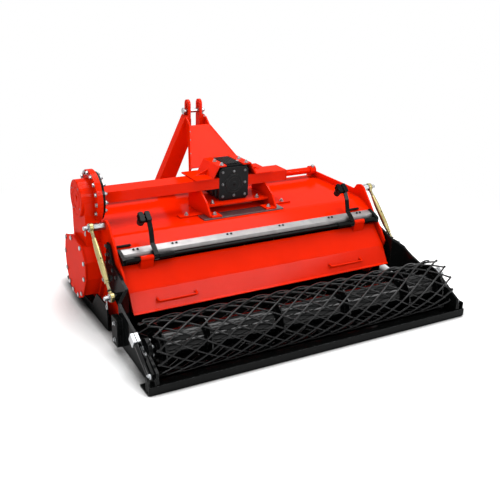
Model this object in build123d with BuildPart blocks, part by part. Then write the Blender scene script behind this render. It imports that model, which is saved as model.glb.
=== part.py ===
"""Rotavator with a rear hood and a mesh roller, carried on a three-point hitch.

Frame: millimetres, +X to the right seen from behind, +Y forward, +Z up. The origin is on the floor
under the middle of the machine. The side drive is on the -X side. Most pieces are outlines in the
YZ plane, given as (Y, Z) points, that run along X.
"""
from build123d import *
import math
import os

os.makedirs("parts", exist_ok=True)

# Driving dimensions ---------------------------------------------------------------------------------
SIDE_X = 788            # outer face of the side plates
SIDE_T = 10             # their thickness
INNER_X = SIDE_X - SIDE_T
DECK_Z = 450            # top of the deck
DECK_T = 6
DECK_FRONT_Y = 560
BAR_Y = -92             # front edge of the clamp bar, where the deck ends

HINGE = (-160, 370)     # hood hinge axis
ROD_R = 8
BARREL_R = 14
HOOD_X = 772            # half width of the hood
HOOD_T = 4

ROTOR = (240, 222)      # rotor axis
ROTOR_TUBE_R = 50
ROTOR_SHAFT_R = 25
BLADE_REACH = 200       # rotor axis to the back of a blade's foot
STARS = 8               # blade flanges along the rotor
STAR_PITCH = 197
BLADES = 6              # blades on each flange

DRIVE = (212, 603)      # transmission axis, through gearbox, tube and side drive
DRIVE_HEAD_R = 140      # round head of the drive flange and of the left side plate
DRIVE_CAP_R = 96
BOX_REAR_Y = 150        # rear face of the gearbox cover
BOX_FRONT_Y = 346
BOX_X = 90              # half width of the gearbox
BOX_LOW_Z = 500
BOX_TOP_Z = 697
TUBE_H = 58
TUBE_D = 120

PIVOT = (-20, 235)      # roller arm pivot
PIVOT_R = 15
ROLLER = (-633, 138)    # mesh roller axis
ROLLER_R = 137
ROLLER_X = 838          # tips of the mesh
RODS = 12               # rods in each of the two families of the mesh
ROD = 8                 # side of a rod
ROD_TURN = 435          # degrees that a rod winds from end to end, a whole number of meshes
ROD_PHASE = 6.7         # degrees from straight up to a tip at the right end
CORE_R = 66
AXLE_R = 20
ARM_FRONT_X = 794       # inner face of the arms at the pivot
ARM_REAR_X = 850        # inner face of the arms beside the roller
ARM_T = 12
JOGGLE_Y = (-290, -335) # where the arms step outwards
BAR_X = 902             # half width of the scraper bar
SCRAPER_Y = -796        # its rear face

SCREW_X = 859           # turnbuckle plane
SCREW_TOP = (42, 496)   # upper pin
SCREW_LOW = (-234, 229) # lower pin
PIN_R = 11
PIN_END_X = 892
EYE_R = 24
EYE_T = 20
SHANK_R = 9

MAST_Y = 679            # top link pin
MAST_Z = 904
CLEVIS_X = 37           # centre of each clevis plate
CLEVIS_T = 15
TOP_PIN_R = 12.7
HITCH_X = 412           # outer face of the lower hitch ears
HITCH = (752, 330)      # lower hitch pins
HITCH_PIN_R = 14        # the free end, which the lower link's ball takes
HITCH_ROOT_R = 15       # the length held in the ears
HITCH_FREE = 70
BEAM = (DECK_FRONT_Y + 6, 345, 80)   # front beam: rear face Y, underside Z, side of the square

STOP_X = 597            # middle of each hood stop
FIT = 0.05              # radial play of a pin in its bore
WIDE_SIDES = 40         # flats that stand for a large round edge
TUBE_SIDES = 20         # flats round a tube
PIN_SIDES = 12          # flats round a fixed pin or a plain bore
BORE_SIDES = 8          # flats round a hidden bore

ALONG_X = (1, 0, 0)
ALONG_Y = (0, 1, 0)


def yz_face(points, x):
    """Closed outline of (Y, Z) points as a face at X = x."""
    with BuildSketch(Plane.YZ.offset(x)) as face:
        with BuildLine():
            Polyline(*points, close=True)
        make_face()
    return face.sketch


def yz_disc(centre, radius, x):
    """Disc in the YZ plane at X = x."""
    with BuildSketch(Plane.YZ.offset(x)) as face:
        with Locations(centre):
            Circle(radius)
    return face.sketch


def yz_polygon(centre, radius, sides, x):
    """Regular polygon round a circle of the given radius, in the YZ plane at X = x."""
    with BuildSketch(Plane.YZ.offset(x)) as face:
        with Locations(centre):
            RegularPolygon(radius, sides, major_radius=False)
    return face.sketch


def yz_box(low, high, x):
    """Rectangle between two (Y, Z) corners, at X = x."""
    return yz_face([low, (high[0], low[1]), high, (low[0], high[1])], x)


def xz_face(points, y):
    """Closed outline of (X, Z) points as a face at Y = y."""
    with BuildSketch(Plane((0, y, 0), x_dir=(1, 0, 0), z_dir=(0, -1, 0))) as face:
        with BuildLine():
            Polyline(*points, close=True)
        make_face()
    return face.sketch


def band(points, thickness):
    """Outline of a bent sheet: the given line and the same line moved to its right, mitred at bends."""
    normals = []
    for (y0, z0), (y1, z1) in zip(points, points[1:]):
        run = math.hypot(y1 - y0, z1 - z0)
        normals.append(((z1 - z0) / run, (y0 - y1) / run))
    inner = []
    for i, (y, z) in enumerate(points):
        before = normals[max(i - 1, 0)]
        after = normals[min(i, len(normals) - 1)]
        scale = thickness / (1 + before[0] * after[0] + before[1] * after[1])
        inner.append((y + scale * (before[0] + after[0]), z + scale * (before[1] + after[1])))
    return list(points) + inner[::-1]


def span(side, near, far):
    """Lower X of a stretch that runs from |X| = near to |X| = far on one side, -1 or 1."""
    return near if side > 0 else -far


# Deck -----------------------------------------------------------------------------------------------
deck_line = [(DECK_FRONT_Y, 345), (DECK_FRONT_Y, DECK_Z), (14, DECK_Z), (-6, DECK_Z - 4), (BAR_Y, 406),
             (BAR_Y, 372)]
with BuildPart() as deck:
    extrude(yz_face(band(deck_line, -DECK_T), -INNER_X), amount=2 * INNER_X, dir=ALONG_X)
deck.part.label = "deck"
export_step(deck.part, "parts/deck.step")

# Side plates ----------------------------------------------------------------------------------------
SOLE_T = 10             # the plates stand on the soles of the skids
plate_outline = [
    (560, 487), (84, 487), (56, 520), (26, 528), (-4, 522), (-24, 500), (-80, 440), (-128, 385),
    (-193, 325), (-242, 262), (-205, 150), (-118, 24), (-88, SOLE_T), (497, SOLE_T), (600, 90), (600, 450),
]
for name, side in (("left", -1), ("right", 1)):
    x = span(side, INNER_X, SIDE_X)
    with BuildPart() as plate:
        extrude(yz_face(plate_outline, x), amount=SIDE_T, dir=ALONG_X)
        if side < 0:
            extrude(yz_polygon(DRIVE, DRIVE_HEAD_R, WIDE_SIDES, x), amount=SIDE_T, dir=ALONG_X)
        shaft_hole = yz_polygon(ROTOR, ROTOR_SHAFT_R + 6, 8, x)
        extrude(shaft_hole, amount=SIDE_T, dir=ALONG_X, mode=Mode.SUBTRACT)
    plate.part.label = "side_plate_" + name
    export_step(plate.part, "parts/side_plate_" + name + ".step")

# Skids ----------------------------------------------------------------------------------------------
SKID_X = 853            # outer face of the skids
SKID_T = 8
SKID_REAR_Y = -132
sole_line = [(560, 30), (500, 0), (-90, 0), (SKID_REAR_Y, 8)]
skid_tops = {
    "left": [(SKID_REAR_Y, 140), (26, 140), (110, 48), (520, 48)],   # dips under the side drive
    "right": [(SKID_REAR_Y, 140), (60, 140), (120, 110), (520, 110)],
}
for name, side in (("left", -1), ("right", 1)):
    with BuildPart() as skid:
        outline = sole_line + skid_tops[name]
        extrude(yz_face(outline, span(side, SKID_X - SKID_T, SKID_X)), amount=SKID_T, dir=ALONG_X)
        sole = yz_face(band(sole_line, SOLE_T), span(side, INNER_X, SKID_X))
        extrude(sole, amount=SKID_X - INNER_X, dir=ALONG_X)
    skid.part.label = "skid_" + name
    export_step(skid.part, "parts/skid_" + name + ".step")

# Front members --------------------------------------------------------------------------------------
FRONT_TUBE = (515, 495)   # its axis
with BuildPart() as front_tube:
    extrude(yz_polygon(FRONT_TUBE, 20, TUBE_SIDES, -INNER_X), amount=2 * INNER_X, dir=ALONG_X)
    for x in (-INNER_X, INNER_X - 40):
        extrude(yz_polygon(FRONT_TUBE, 27, PIN_SIDES, x), amount=40, dir=ALONG_X)
front_tube.part.label = "front_tube"
export_step(front_tube.part, "parts/front_tube.step")

beam_y, beam_z, beam_side = BEAM
beam_front = beam_y + beam_side
beam_top = beam_z + beam_side
with BuildPart() as front_beam:
    beam = yz_box((beam_y, beam_z), (beam_front, beam_top), -HITCH_X - 60)
    extrude(beam, amount=2 * HITCH_X + 120, dir=ALONG_X)
front_beam.part.label = "front_beam"
export_step(front_beam.part, "parts/front_beam.step")

# Lower hitch ----------------------------------------------------------------------------------------
EAR_T = 15
EAR_GAP = 35
ear = [(beam_front, beam_top), (beam_front, 288), (740, 290), (780, 302), (796, 330), (780, 360),
       (700, beam_top)]
with BuildPart() as hitch:
    for side in (-1, 1):
        for outer in (HITCH_X, HITCH_X - EAR_T - EAR_GAP):
            x = span(side, outer - EAR_T, outer)
            extrude(yz_face(ear, x), amount=EAR_T, dir=ALONG_X)
            bore = yz_polygon(HITCH, HITCH_ROOT_R + FIT, PIN_SIDES, x)
            extrude(bore, amount=EAR_T, dir=ALONG_X, mode=Mode.SUBTRACT)
hitch.part.label = "lower_hitch"
export_step(hitch.part, "parts/lower_hitch.step")

with BuildPart() as hitch_pins:
    root = 2 * EAR_T + EAR_GAP + 6
    for side in (-1, 1):
        held = yz_polygon(HITCH, HITCH_ROOT_R, PIN_SIDES, span(side, HITCH_X - root, HITCH_X))
        extrude(held, amount=root, dir=ALONG_X)
        free = yz_disc(HITCH, HITCH_PIN_R, span(side, HITCH_X, HITCH_X + HITCH_FREE))
        extrude(free, amount=HITCH_FREE, dir=ALONG_X)
hitch_pins.part.label = "hitch_pins"
export_step(hitch_pins.part, "parts/hitch_pins.step")

# Mast: two slotted ears, two spread legs and the braces under the sloping cover ----------------------
EAR_TOP_Z = 942         # centre of the ears' round ends
EAR_HALF = 29
LEG_Y = 650
LEG_D = 60
leg = [(30, 880), (62, 880), (276, beam_top), (171, beam_top), (44, 705), (30, 705)]
slope = Plane(origin=(0, 590, 835), x_dir=(1, 0, 0), z_dir=(0, -195, 240))
COVER_TOP = 58          # half widths of the cover's upper and lower edge
COVER_LOW = 158
COVER_RUN = 300         # length of the cover down its slope
BRACE_T = 8
BRACE_D = 45
with BuildPart() as mast:
    for side in (-1, 1):
        x = side * CLEVIS_X - CLEVIS_T / 2
        ear_low = yz_box((MAST_Y - EAR_HALF, 705), (MAST_Y + EAR_HALF, EAR_TOP_Z), x)
        extrude(ear_low, amount=CLEVIS_T, dir=ALONG_X)
        extrude(yz_disc((MAST_Y, EAR_TOP_Z), EAR_HALF, x), amount=CLEVIS_T, dir=ALONG_X)
        extrude(xz_face([(side * px, pz) for px, pz in leg], LEG_Y), amount=LEG_D, dir=ALONG_Y)
        slot = yz_box((MAST_Y - 9, MAST_Z), (MAST_Y + 9, MAST_Z + 44), x)
        extrude(slot, amount=CLEVIS_T, dir=ALONG_X, mode=Mode.SUBTRACT)
        bore = yz_polygon((MAST_Y, MAST_Z), TOP_PIN_R + FIT, PIN_SIDES, x)
        extrude(bore, amount=CLEVIS_T, dir=ALONG_X, mode=Mode.SUBTRACT)
    with BuildSketch(slope):
        for side in (-1, 1):
            top = side * COVER_TOP
            low = side * COVER_LOW
            with BuildLine():
                Polyline((top, 60), (top, 0), (low, -COVER_RUN), (low + side * BRACE_T, -COVER_RUN),
                         (top + side * BRACE_T, 0), (top + side * BRACE_T, 60), close=True)
            make_face()
    extrude(amount=-BRACE_D)
mast.part.label = "mast"
export_step(mast.part, "parts/mast.step")

with BuildPart() as mast_cover:
    with BuildSketch(slope):
        with BuildLine():
            Polyline((-COVER_TOP, 0), (COVER_TOP, 0), (COVER_LOW, -COVER_RUN), (-COVER_LOW, -COVER_RUN),
                     close=True)
        make_face()
    extrude(amount=-5)
mast_cover.part.label = "mast_cover"
export_step(mast_cover.part, "parts/mast_cover.step")

with BuildPart() as top_pin:
    extrude(yz_polygon((MAST_Y, MAST_Z), TOP_PIN_R, PIN_SIDES, -66), amount=132, dir=ALONG_X)
top_pin.part.label = "top_link_pin"
export_step(top_pin.part, "parts/top_link_pin.step")

# Gearbox --------------------------------------------------------------------------------------------
COVER_T = 16
cover_mid_z = (BOX_LOW_Z + BOX_TOP_Z) / 2 - 5
with BuildPart() as gearbox:
    with BuildSketch(Plane.XZ.offset(-BOX_REAR_Y - COVER_T)):
        with Locations((0, (BOX_LOW_Z + BOX_TOP_Z) / 2)):
            body = Rectangle(2 * BOX_X, BOX_TOP_Z - BOX_LOW_Z)
        chamfer(body.vertices(), 14)
    extrude(amount=BOX_REAR_Y + COVER_T - BOX_FRONT_Y)
    with BuildSketch(Plane.XY.offset(BOX_TOP_Z)):
        with Locations((0, 240)):
            with GridLocations(15, 0, 6, 1):
                Rectangle(4, 150)
    extrude(amount=9)
gearbox.part.label = "gearbox"
export_step(gearbox.part, "parts/gearbox.step")

with BuildPart() as gearbox_cover:
    with BuildSketch(Plane.XZ.offset(-BOX_REAR_Y)):
        with Locations((0, cover_mid_z)):
            plate = Rectangle(2 * BOX_X, 186)
        chamfer(plate.vertices(), 16)
    extrude(amount=-COVER_T)
    with BuildSketch(Plane.XZ.offset(-BOX_REAR_Y)):
        with Locations((0, cover_mid_z)):
            RegularPolygon(54, 24)
    extrude(amount=4)
gearbox_cover.part.label = "gearbox_cover"
export_step(gearbox_cover.part, "parts/gearbox_cover.step")

TAB_T = 8
tube_top = DRIVE[1] + TUBE_H / 2
tube_low = DRIVE[1] - TUBE_H / 2
bracket_line = [(238, tube_top), (132, tube_top), (96, BOX_TOP_Z), (52, BOX_TOP_Z)]
gusset = [(200, tube_top + TAB_T), (138, tube_top + TAB_T), (114, 672)]
with BuildPart() as brackets:
    for side in (-1, 1):
        outline = [(side * px, pz) for px, pz in band(bracket_line, TAB_T)]
        extrude(xz_face(outline, BOX_REAR_Y - 12), amount=190, dir=ALONG_Y)
        extrude(xz_face([(side * px, pz) for px, pz in gusset], 226), amount=8, dir=ALONG_Y)
brackets.part.label = "gearbox_brackets"
export_step(brackets.part, "parts/gearbox_brackets.step")

# Cradle: two cranked rails with feet, and the floor plate that carries the gearbox -------------------
RAIL_X = 208            # outer face of the rails
RAIL_T = 10
STRIP_Z = DECK_Z + 8
rail = [(24, STRIP_Z), (24, STRIP_Z + 12), (70, 528), (150, tube_low), (262, tube_low), (300, 520),
        (300, DECK_Z), (96, DECK_Z), (96, STRIP_Z)]
with BuildPart() as cradle:
    for side in (-1, 1):
        extrude(yz_face(rail, span(side, RAIL_X - RAIL_T, RAIL_X)), amount=RAIL_T, dir=ALONG_X)
        foot = yz_box((16, STRIP_Z), (92, STRIP_Z + TAB_T), span(side, RAIL_X - 70, RAIL_X - RAIL_T))
        extrude(foot, amount=70 - RAIL_T, dir=ALONG_X)
        tab = yz_box((104, DECK_Z), (150, DECK_Z + TAB_T), span(side, RAIL_X, RAIL_X + 138))
        extrude(tab, amount=138, dir=ALONG_X)
    floor = yz_box((104, BOX_LOW_Z - 10), (BOX_FRONT_Y - 30, BOX_LOW_Z), -RAIL_X + RAIL_T)
    extrude(floor, amount=2 * (RAIL_X - RAIL_T), dir=ALONG_X)
cradle.part.label = "gearbox_cradle"
export_step(cradle.part, "parts/gearbox_cradle.step")

with BuildPart() as strip:
    extrude(yz_box((14, DECK_Z), (94, STRIP_Z), -245), amount=490, dir=ALONG_X)
strip.part.label = "slide_strip"
export_step(strip.part, "parts/slide_strip.step")

# Transmission ---------------------------------------------------------------------------------------
tube_rear = DRIVE[0] - TUBE_D / 2
tube_front = DRIVE[0] + TUBE_D / 2
with BuildPart() as tube:
    section = yz_box((tube_rear, tube_low), (tube_front, tube_top), -INNER_X)
    extrude(section, amount=INNER_X - BOX_X, dir=ALONG_X)
tube.part.label = "transmission_tube"
export_step(tube.part, "parts/transmission_tube.step")

with BuildPart() as counter:
    extrude(yz_box((tube_rear, tube_low), (tube_front, tube_top), BOX_X), amount=254, dir=ALONG_X)
counter.part.label = "counter_tube"
export_step(counter.part, "parts/counter_tube.step")

INPUT_R = 17.5
with BuildPart() as shaft:
    with BuildSketch(Plane.XZ.offset(-BOX_FRONT_Y - 0.3)):
        with Locations((0, DRIVE[1])):
            Circle(INPUT_R)
    extrude(amount=-90)
shaft.part.label = "input_shaft"
export_step(shaft.part, "parts/input_shaft.step")

# Side drive: flanged case with a round head, a neck and a deep lower box ------------------------------
FLANGE_X = 808          # outer face of the case's flange
NECK_X = 864
CASE_X = 884
CAP_X = 876
LOW_COVER_X = 895
lower_cover = [(280, 381), (119, 372), (64, 300), (72, 205), (135, 93), (200, 62), (290, 62),
               (353, 89), (395, 160), (406, 262), (383, 352)]
case_middle = (236, 222)


def grown(points, by):
    """The outline with every point moved away from the case's middle by the same length."""
    moved = []
    for y, z in points:
        run = math.hypot(y - case_middle[0], z - case_middle[1])
        moved.append((y + by * (y - case_middle[0]) / run, z + by * (z - case_middle[1]) / run))
    return moved


with BuildPart() as case:
    extrude(yz_face(grown(lower_cover, 18), -FLANGE_X), amount=FLANGE_X - SIDE_X, dir=ALONG_X)
    head = yz_polygon(DRIVE, DRIVE_HEAD_R, WIDE_SIDES, -FLANGE_X)
    extrude(head, amount=FLANGE_X - SIDE_X, dir=ALONG_X)
    extrude(yz_face(lower_cover, -CASE_X), amount=CASE_X - FLANGE_X, dir=ALONG_X)
    neck_low = (DRIVE[0] - DRIVE_CAP_R, 370)
    neck_high = (DRIVE[0] + DRIVE_CAP_R, DRIVE[1])
    extrude(yz_box(neck_low, neck_high, -NECK_X), amount=NECK_X - SIDE_X, dir=ALONG_X)
    neck_top = yz_polygon(DRIVE, DRIVE_CAP_R, WIDE_SIDES, -NECK_X)
    extrude(neck_top, amount=NECK_X - FLANGE_X, dir=ALONG_X)
    bore = yz_disc(ROTOR, ROTOR_SHAFT_R + FIT, -SIDE_X - 42)
    extrude(bore, amount=42, dir=ALONG_X, mode=Mode.SUBTRACT)
case.part.label = "drive_case"
export_step(case.part, "parts/drive_case.step")

with BuildPart() as lower:
    extrude(yz_face(grown(lower_cover, 4), -LOW_COVER_X), amount=LOW_COVER_X - CASE_X, dir=ALONG_X)
lower.part.label = "drive_cover_lower"
export_step(lower.part, "parts/drive_cover_lower.step")

with BuildPart() as cap:
    extrude(yz_polygon(DRIVE, DRIVE_CAP_R, WIDE_SIDES, -CAP_X), amount=CAP_X - NECK_X, dir=ALONG_X)
cap.part.label = "drive_cover_upper"
export_step(cap.part, "parts/drive_cover_upper.step")

RING_R = 126
with BuildPart() as ring:
    extrude(yz_polygon(DRIVE, RING_R, WIDE_SIDES, -INNER_X), amount=16, dir=ALONG_X)
    hole = yz_box((tube_rear, tube_low), (tube_front, tube_top), -INNER_X)
    extrude(hole, amount=16, dir=ALONG_X, mode=Mode.SUBTRACT)
    under = yz_box((DRIVE[0] - 130, 460), (DRIVE[0] + 130, 487), -INNER_X)
    extrude(under, amount=16, dir=ALONG_X, mode=Mode.SUBTRACT)
ring.part.label = "drive_ring"
export_step(ring.part, "parts/drive_ring.step")

with BuildPart() as housing:
    extrude(yz_polygon(ROTOR, 68, 8, SIDE_X), amount=32, dir=ALONG_X)
    extrude(yz_disc(ROTOR, ROTOR_SHAFT_R + FIT, SIDE_X), amount=26, dir=ALONG_X, mode=Mode.SUBTRACT)
housing.part.label = "rotor_bearing"
export_step(housing.part, "parts/rotor_bearing.step")

# Hood hinge -----------------------------------------------------------------------------------------
clamp_outline = [(BAR_Y, 408), (-136, 396), (-140, 376), (BAR_Y, 389)]
with BuildPart() as clamp:
    extrude(yz_face(clamp_outline, -758), amount=2 * 758, dir=ALONG_X)
clamp.part.label = "clamp_bar"
export_step(clamp.part, "parts/clamp_bar.step")

with BuildPart() as leaf:
    extrude(yz_box((BAR_Y + DECK_T, 340), (BAR_Y + DECK_T + 6, 398), -758), amount=2 * 758, dir=ALONG_X)
leaf.part.label = "seal_strip"
export_step(leaf.part, "parts/seal_strip.step")

KNUCKLE_X = (684, 758)    # outer and inner fixed knuckles of each half, as |X| stretches
KNUCKLE_IN_X = (500, 582)
END_X = (759, HOOD_X + 4) # end block that closes the bar and the rod
with BuildPart() as rod:
    extrude(yz_disc(HINGE, ROD_R, -END_X[0]), amount=2 * END_X[0], dir=ALONG_X)
rod.part.label = "hinge_rod"
export_step(rod.part, "parts/hinge_rod.step")

knuckle_leaf = [(BAR_Y, 388), (-140, 375), (HINGE[0], HINGE[1] + 12), (HINGE[0], HINGE[1] - 12),
                (-140, 363), (BAR_Y, 376)]
end_block = [(BAR_Y, 412), (-142, 400), (-176, 384), (-176, 356), (BAR_Y, 366)]
with BuildPart() as fixed_knuckles:
    for side in (-1, 1):
        for near, far in (KNUCKLE_X, KNUCKLE_IN_X):
            x = span(side, near, far)
            extrude(yz_polygon(HINGE, BARREL_R, PIN_SIDES, x), amount=far - near, dir=ALONG_X)
            extrude(yz_face(knuckle_leaf, x), amount=far - near, dir=ALONG_X)
            bore = yz_polygon(HINGE, ROD_R, BORE_SIDES, x)
            extrude(bore, amount=far - near, dir=ALONG_X, mode=Mode.SUBTRACT)
        near, far = END_X
        extrude(yz_face(end_block, span(side, near, far)), amount=far - near, dir=ALONG_X)
fixed_knuckles.part.label = "hinge_knuckles"
export_step(fixed_knuckles.part, "parts/hinge_knuckles.step")

# Hood stops: a bent strap from the hinge rod over the bar, with a block and a rubber buffer at its head
STRAP_W = 24
STRAP_T = 7
strap_line = [(-168, 381), (-141, 405), (-112, 424), (-96, 490), (-66, 545)]
HEAD = (-66, 545)                      # middle of the head block
HEAD_DOWN = (0, 0.6, -0.8)             # way that the buffer points
HEAD_SHIFT = -20                       # the block sits off the strap, to the left on both sides
with BuildPart() as stops:
    for side in (-1, 1):
        x = side * STOP_X - STRAP_W / 2
        extrude(yz_face(band(strap_line, -STRAP_T), x), amount=STRAP_W, dir=ALONG_X)
        extrude(yz_polygon(HINGE, BARREL_R, PIN_SIDES, x), amount=STRAP_W, dir=ALONG_X)
        bore = yz_polygon(HINGE, ROD_R, BORE_SIDES, x)
        extrude(bore, amount=STRAP_W, dir=ALONG_X, mode=Mode.SUBTRACT)
        middle = (side * STOP_X + HEAD_SHIFT, *HEAD)
        with BuildSketch(Plane(origin=middle, x_dir=(1, 0, 0), z_dir=HEAD_DOWN)):
            Rectangle(64, 44)
        extrude(amount=8, both=True)
stops.part.label = "hood_stops"
export_step(stops.part, "parts/hood_stops.step")

with BuildPart() as buffers:
    for side in (-1, 1):
        middle = (side * STOP_X + HEAD_SHIFT - 14, *HEAD)
        under = Plane(origin=middle, x_dir=(1, 0, 0), z_dir=HEAD_DOWN).offset(8)
        with BuildSketch(under):
            RegularPolygon(21, 16)
        with BuildSketch(under.offset(32)):
            RegularPolygon(18, 16)
        loft()
buffers.part.label = "stop_buffers"
export_step(buffers.part, "parts/stop_buffers.step")

# Hood: two flat facets with a turned lip, end flanges and two hinge barrels --------------------------
hood_line = [(-139, 338), (-238, 235), (-289, 150), (-302, 145)]
end_flange = [(-150, 322), (-236, 232), (-285, 150), (-262, 150), (-218, 224), (-138, 306)]
HOOD_BARREL_X = (612, 680)
with BuildPart() as hood:
    extrude(yz_face(band(hood_line, -HOOD_T), -HOOD_X), amount=2 * HOOD_X, dir=ALONG_X)
    for side in (-1, 1):
        extrude(yz_face(end_flange, span(side, HOOD_X - HOOD_T, HOOD_X)), amount=HOOD_T, dir=ALONG_X)
        near, far = HOOD_BARREL_X
        x = span(side, near, far)
        extrude(yz_polygon(HINGE, BARREL_R, PIN_SIDES, x), amount=far - near, dir=ALONG_X)
        leaf_line = [(-170, 362), (-150, 362), (-141, 334), (-160, 314.5)]
        extrude(yz_face(leaf_line, x), amount=far - near, dir=ALONG_X)
        bore = yz_polygon(HINGE, ROD_R + FIT, BORE_SIDES, x)
        extrude(bore, amount=far - near, dir=ALONG_X, mode=Mode.SUBTRACT)
hood.part.label = "rear_hood"
export_step(hood.part, "parts/rear_hood.step")

with BuildPart() as handles:
    for x0, x1 in ((-637, -430), (386, 592)):
        with BuildLine() as path:
            Polyline((x0, -264, 192), (x0, -295, 211), (x1, -295, 211), (x1, -264, 192))
        with BuildSketch(Plane(origin=(x0, -264, 192), x_dir=(1, 0, 0), z_dir=(0, -31, 19))):
            RegularPolygon(5, 8, major_radius=False, rotation=22.5)
        sweep(path=path.line, transition=Transition.RIGHT)
handles.part.label = "hood_handles"
export_step(handles.part, "parts/hood_handles.step")

# Rotor: a tube with flanges, each with six cranked blades turned to alternate sides ------------------
with BuildPart() as rotor:
    extrude(yz_polygon(ROTOR, ROTOR_TUBE_R - 2, PIN_SIDES, -755), amount=2 * 755, dir=ALONG_X)
    extrude(yz_disc(ROTOR, ROTOR_SHAFT_R, -SIDE_X - 38), amount=2 * SIDE_X + 60, dir=ALONG_X)
rotor.part.label = "rotor_shaft"
export_step(rotor.part, "parts/rotor_shaft.step")

BLADE_T = 8
BLADE_W = 56
FLANGE_T = 10
FOOT = 75
with BuildPart() as star:
    extrude(yz_polygon((0, 0), 96, BLADES, -FLANGE_T / 2), amount=FLANGE_T, dir=ALONG_X)
    hole = yz_polygon((0, 0), ROTOR_TUBE_R, BORE_SIDES, -FLANGE_T / 2)
    extrude(hole, amount=FLANGE_T, dir=ALONG_X, mode=Mode.SUBTRACT)
    for k in range(BLADES):
        turn = math.radians(360 / BLADES * k)
        face = FLANGE_T / 2
        blade = [(face, 62), (face, BLADE_REACH), (face + FOOT, BLADE_REACH),
                 (face + FOOT, BLADE_REACH - BLADE_T), (face + BLADE_T, BLADE_REACH - BLADE_T),
                 (face + BLADE_T, 62)]
        hand = 1 if k % 2 == 0 else -1
        around = (0, -math.sin(turn), math.cos(turn))
        with BuildSketch(Plane(origin=(0, 0, 0), x_dir=(1, 0, 0), z_dir=around)):
            with BuildLine():
                Polyline(*[(hand * px, -out) for px, out in blade], close=True)
            make_face()
        extrude(amount=BLADE_W / 2, both=True)
with BuildPart() as blades:
    for i in range(STARS):
        spin = Location(((i - (STARS - 1) / 2) * STAR_PITCH, *ROTOR), (15 * i, 0, 0))
        add(star.part.moved(spin))
blades.part.label = "rotor_blades"
export_step(blades.part, "parts/rotor_blades.step")

# Roller frame: two arms bent outwards behind the pivot, joined by the scraper bar --------------------
arm_side = [
    (-20, 205), (10, 212), (16, 245), (2, 280), (-8, 340), (-30, 435), (-52, 425), (-100, 342),
    (-290, 283), (-335, 238), (-391, 216), (-503, 186), (-611, 166), (-738, 128), (-790, 102),
    (-790, 11), (-650, 11), (-335, 28), (-290, 110), (-215, 120),
]
BLOCK = ((-385, 38), (-315, 180))      # end block bolted to each arm
BLOCK_T = 30
for name, side in (("left", -1), ("right", 1)):
    plan = [(side * ARM_FRONT_X, 20), (side * ARM_FRONT_X, JOGGLE_Y[0]), (side * ARM_REAR_X, JOGGLE_Y[1]),
            (side * ARM_REAR_X, SCRAPER_Y)]
    pin_from = ARM_FRONT_X + ARM_T
    with BuildPart() as arm:
        with BuildSketch():
            with BuildLine():
                Polyline(*band(plan, -side * ARM_T), close=True)
            make_face()
        extrude(amount=500)
        outline = yz_face(arm_side, span(side, ARM_FRONT_X - 10, ARM_REAR_X + 30))
        extrude(outline, amount=ARM_REAR_X - ARM_FRONT_X + 40, dir=ALONG_X, mode=Mode.INTERSECT)
        block = yz_box(*BLOCK, span(side, ARM_REAR_X + ARM_T, ARM_REAR_X + ARM_T + BLOCK_T))
        extrude(block, amount=BLOCK_T, dir=ALONG_X)
        stud = yz_polygon(SCREW_LOW, PIN_R, PIN_SIDES, span(side, pin_from, PIN_END_X))
        extrude(stud, amount=PIN_END_X - pin_from, dir=ALONG_X)
        collar = yz_polygon(SCREW_LOW, 16, 6, span(side, pin_from, SCREW_X - EYE_T / 2 - 1))
        extrude(collar, amount=SCREW_X - EYE_T / 2 - 1 - pin_from, dir=ALONG_X)
        pivot_hole = yz_disc(PIVOT, PIVOT_R + FIT, span(side, ARM_FRONT_X, pin_from))
        extrude(pivot_hole, amount=ARM_T, dir=ALONG_X, mode=Mode.SUBTRACT)
        axle_hole = yz_disc(ROLLER, AXLE_R + FIT, span(side, ARM_REAR_X, ARM_REAR_X + ARM_T))
        extrude(axle_hole, amount=ARM_T, dir=ALONG_X, mode=Mode.SUBTRACT)
    arm.part.label = "roller_arm_" + name
    export_step(arm.part, "parts/roller_arm_" + name + ".step")

PIVOT_END_X = 812
with BuildPart() as pivots:
    for side in (-1, 1):
        pin = yz_disc(PIVOT, PIVOT_R, span(side, SIDE_X, PIVOT_END_X))
        extrude(pin, amount=PIVOT_END_X - SIDE_X, dir=ALONG_X)
pivots.part.label = "arm_pivots"
export_step(pivots.part, "parts/arm_pivots.step")

with BuildPart() as studs:
    boss_end = SCREW_X - EYE_T / 2 - 1
    for side in (-1, 1):
        stud = yz_disc(SCREW_TOP, PIN_R, span(side, SIDE_X, PIN_END_X))
        extrude(stud, amount=PIN_END_X - SIDE_X, dir=ALONG_X)
        boss = yz_polygon(SCREW_TOP, 17, 6, span(side, SIDE_X, boss_end))
        extrude(boss, amount=boss_end - SIDE_X, dir=ALONG_X)
studs.part.label = "screw_studs"
export_step(studs.part, "parts/screw_studs.step")

ADJUSTER_X = 881
ADJUSTER_TOP = (-590, 174)             # middle of the square block
ADJUSTER_LOW = (-770, 66)              # middle of the ball
CHEEK_T = 6
SCRAPER_LIP_Y = -695                   # front edge of the bar's flange, close under the mesh
scraper_line = [(SCRAPER_Y, 42), (SCRAPER_Y, 4), (SCRAPER_LIP_Y, 4)]
with BuildPart() as scraper:
    extrude(yz_face(band(scraper_line, -6), -BAR_X), amount=2 * BAR_X, dir=ALONG_X)
    for side in (-1, 1):
        for near in (ADJUSTER_X - 18, ADJUSTER_X + 12):
            x = span(side, near, near + CHEEK_T)
            extrude(yz_box((SCRAPER_Y + 6, 10), (-752, 78), x), amount=CHEEK_T, dir=ALONG_X)
scraper.part.label = "scraper_bar"
export_step(scraper.part, "parts/scraper_bar.step")

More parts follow.
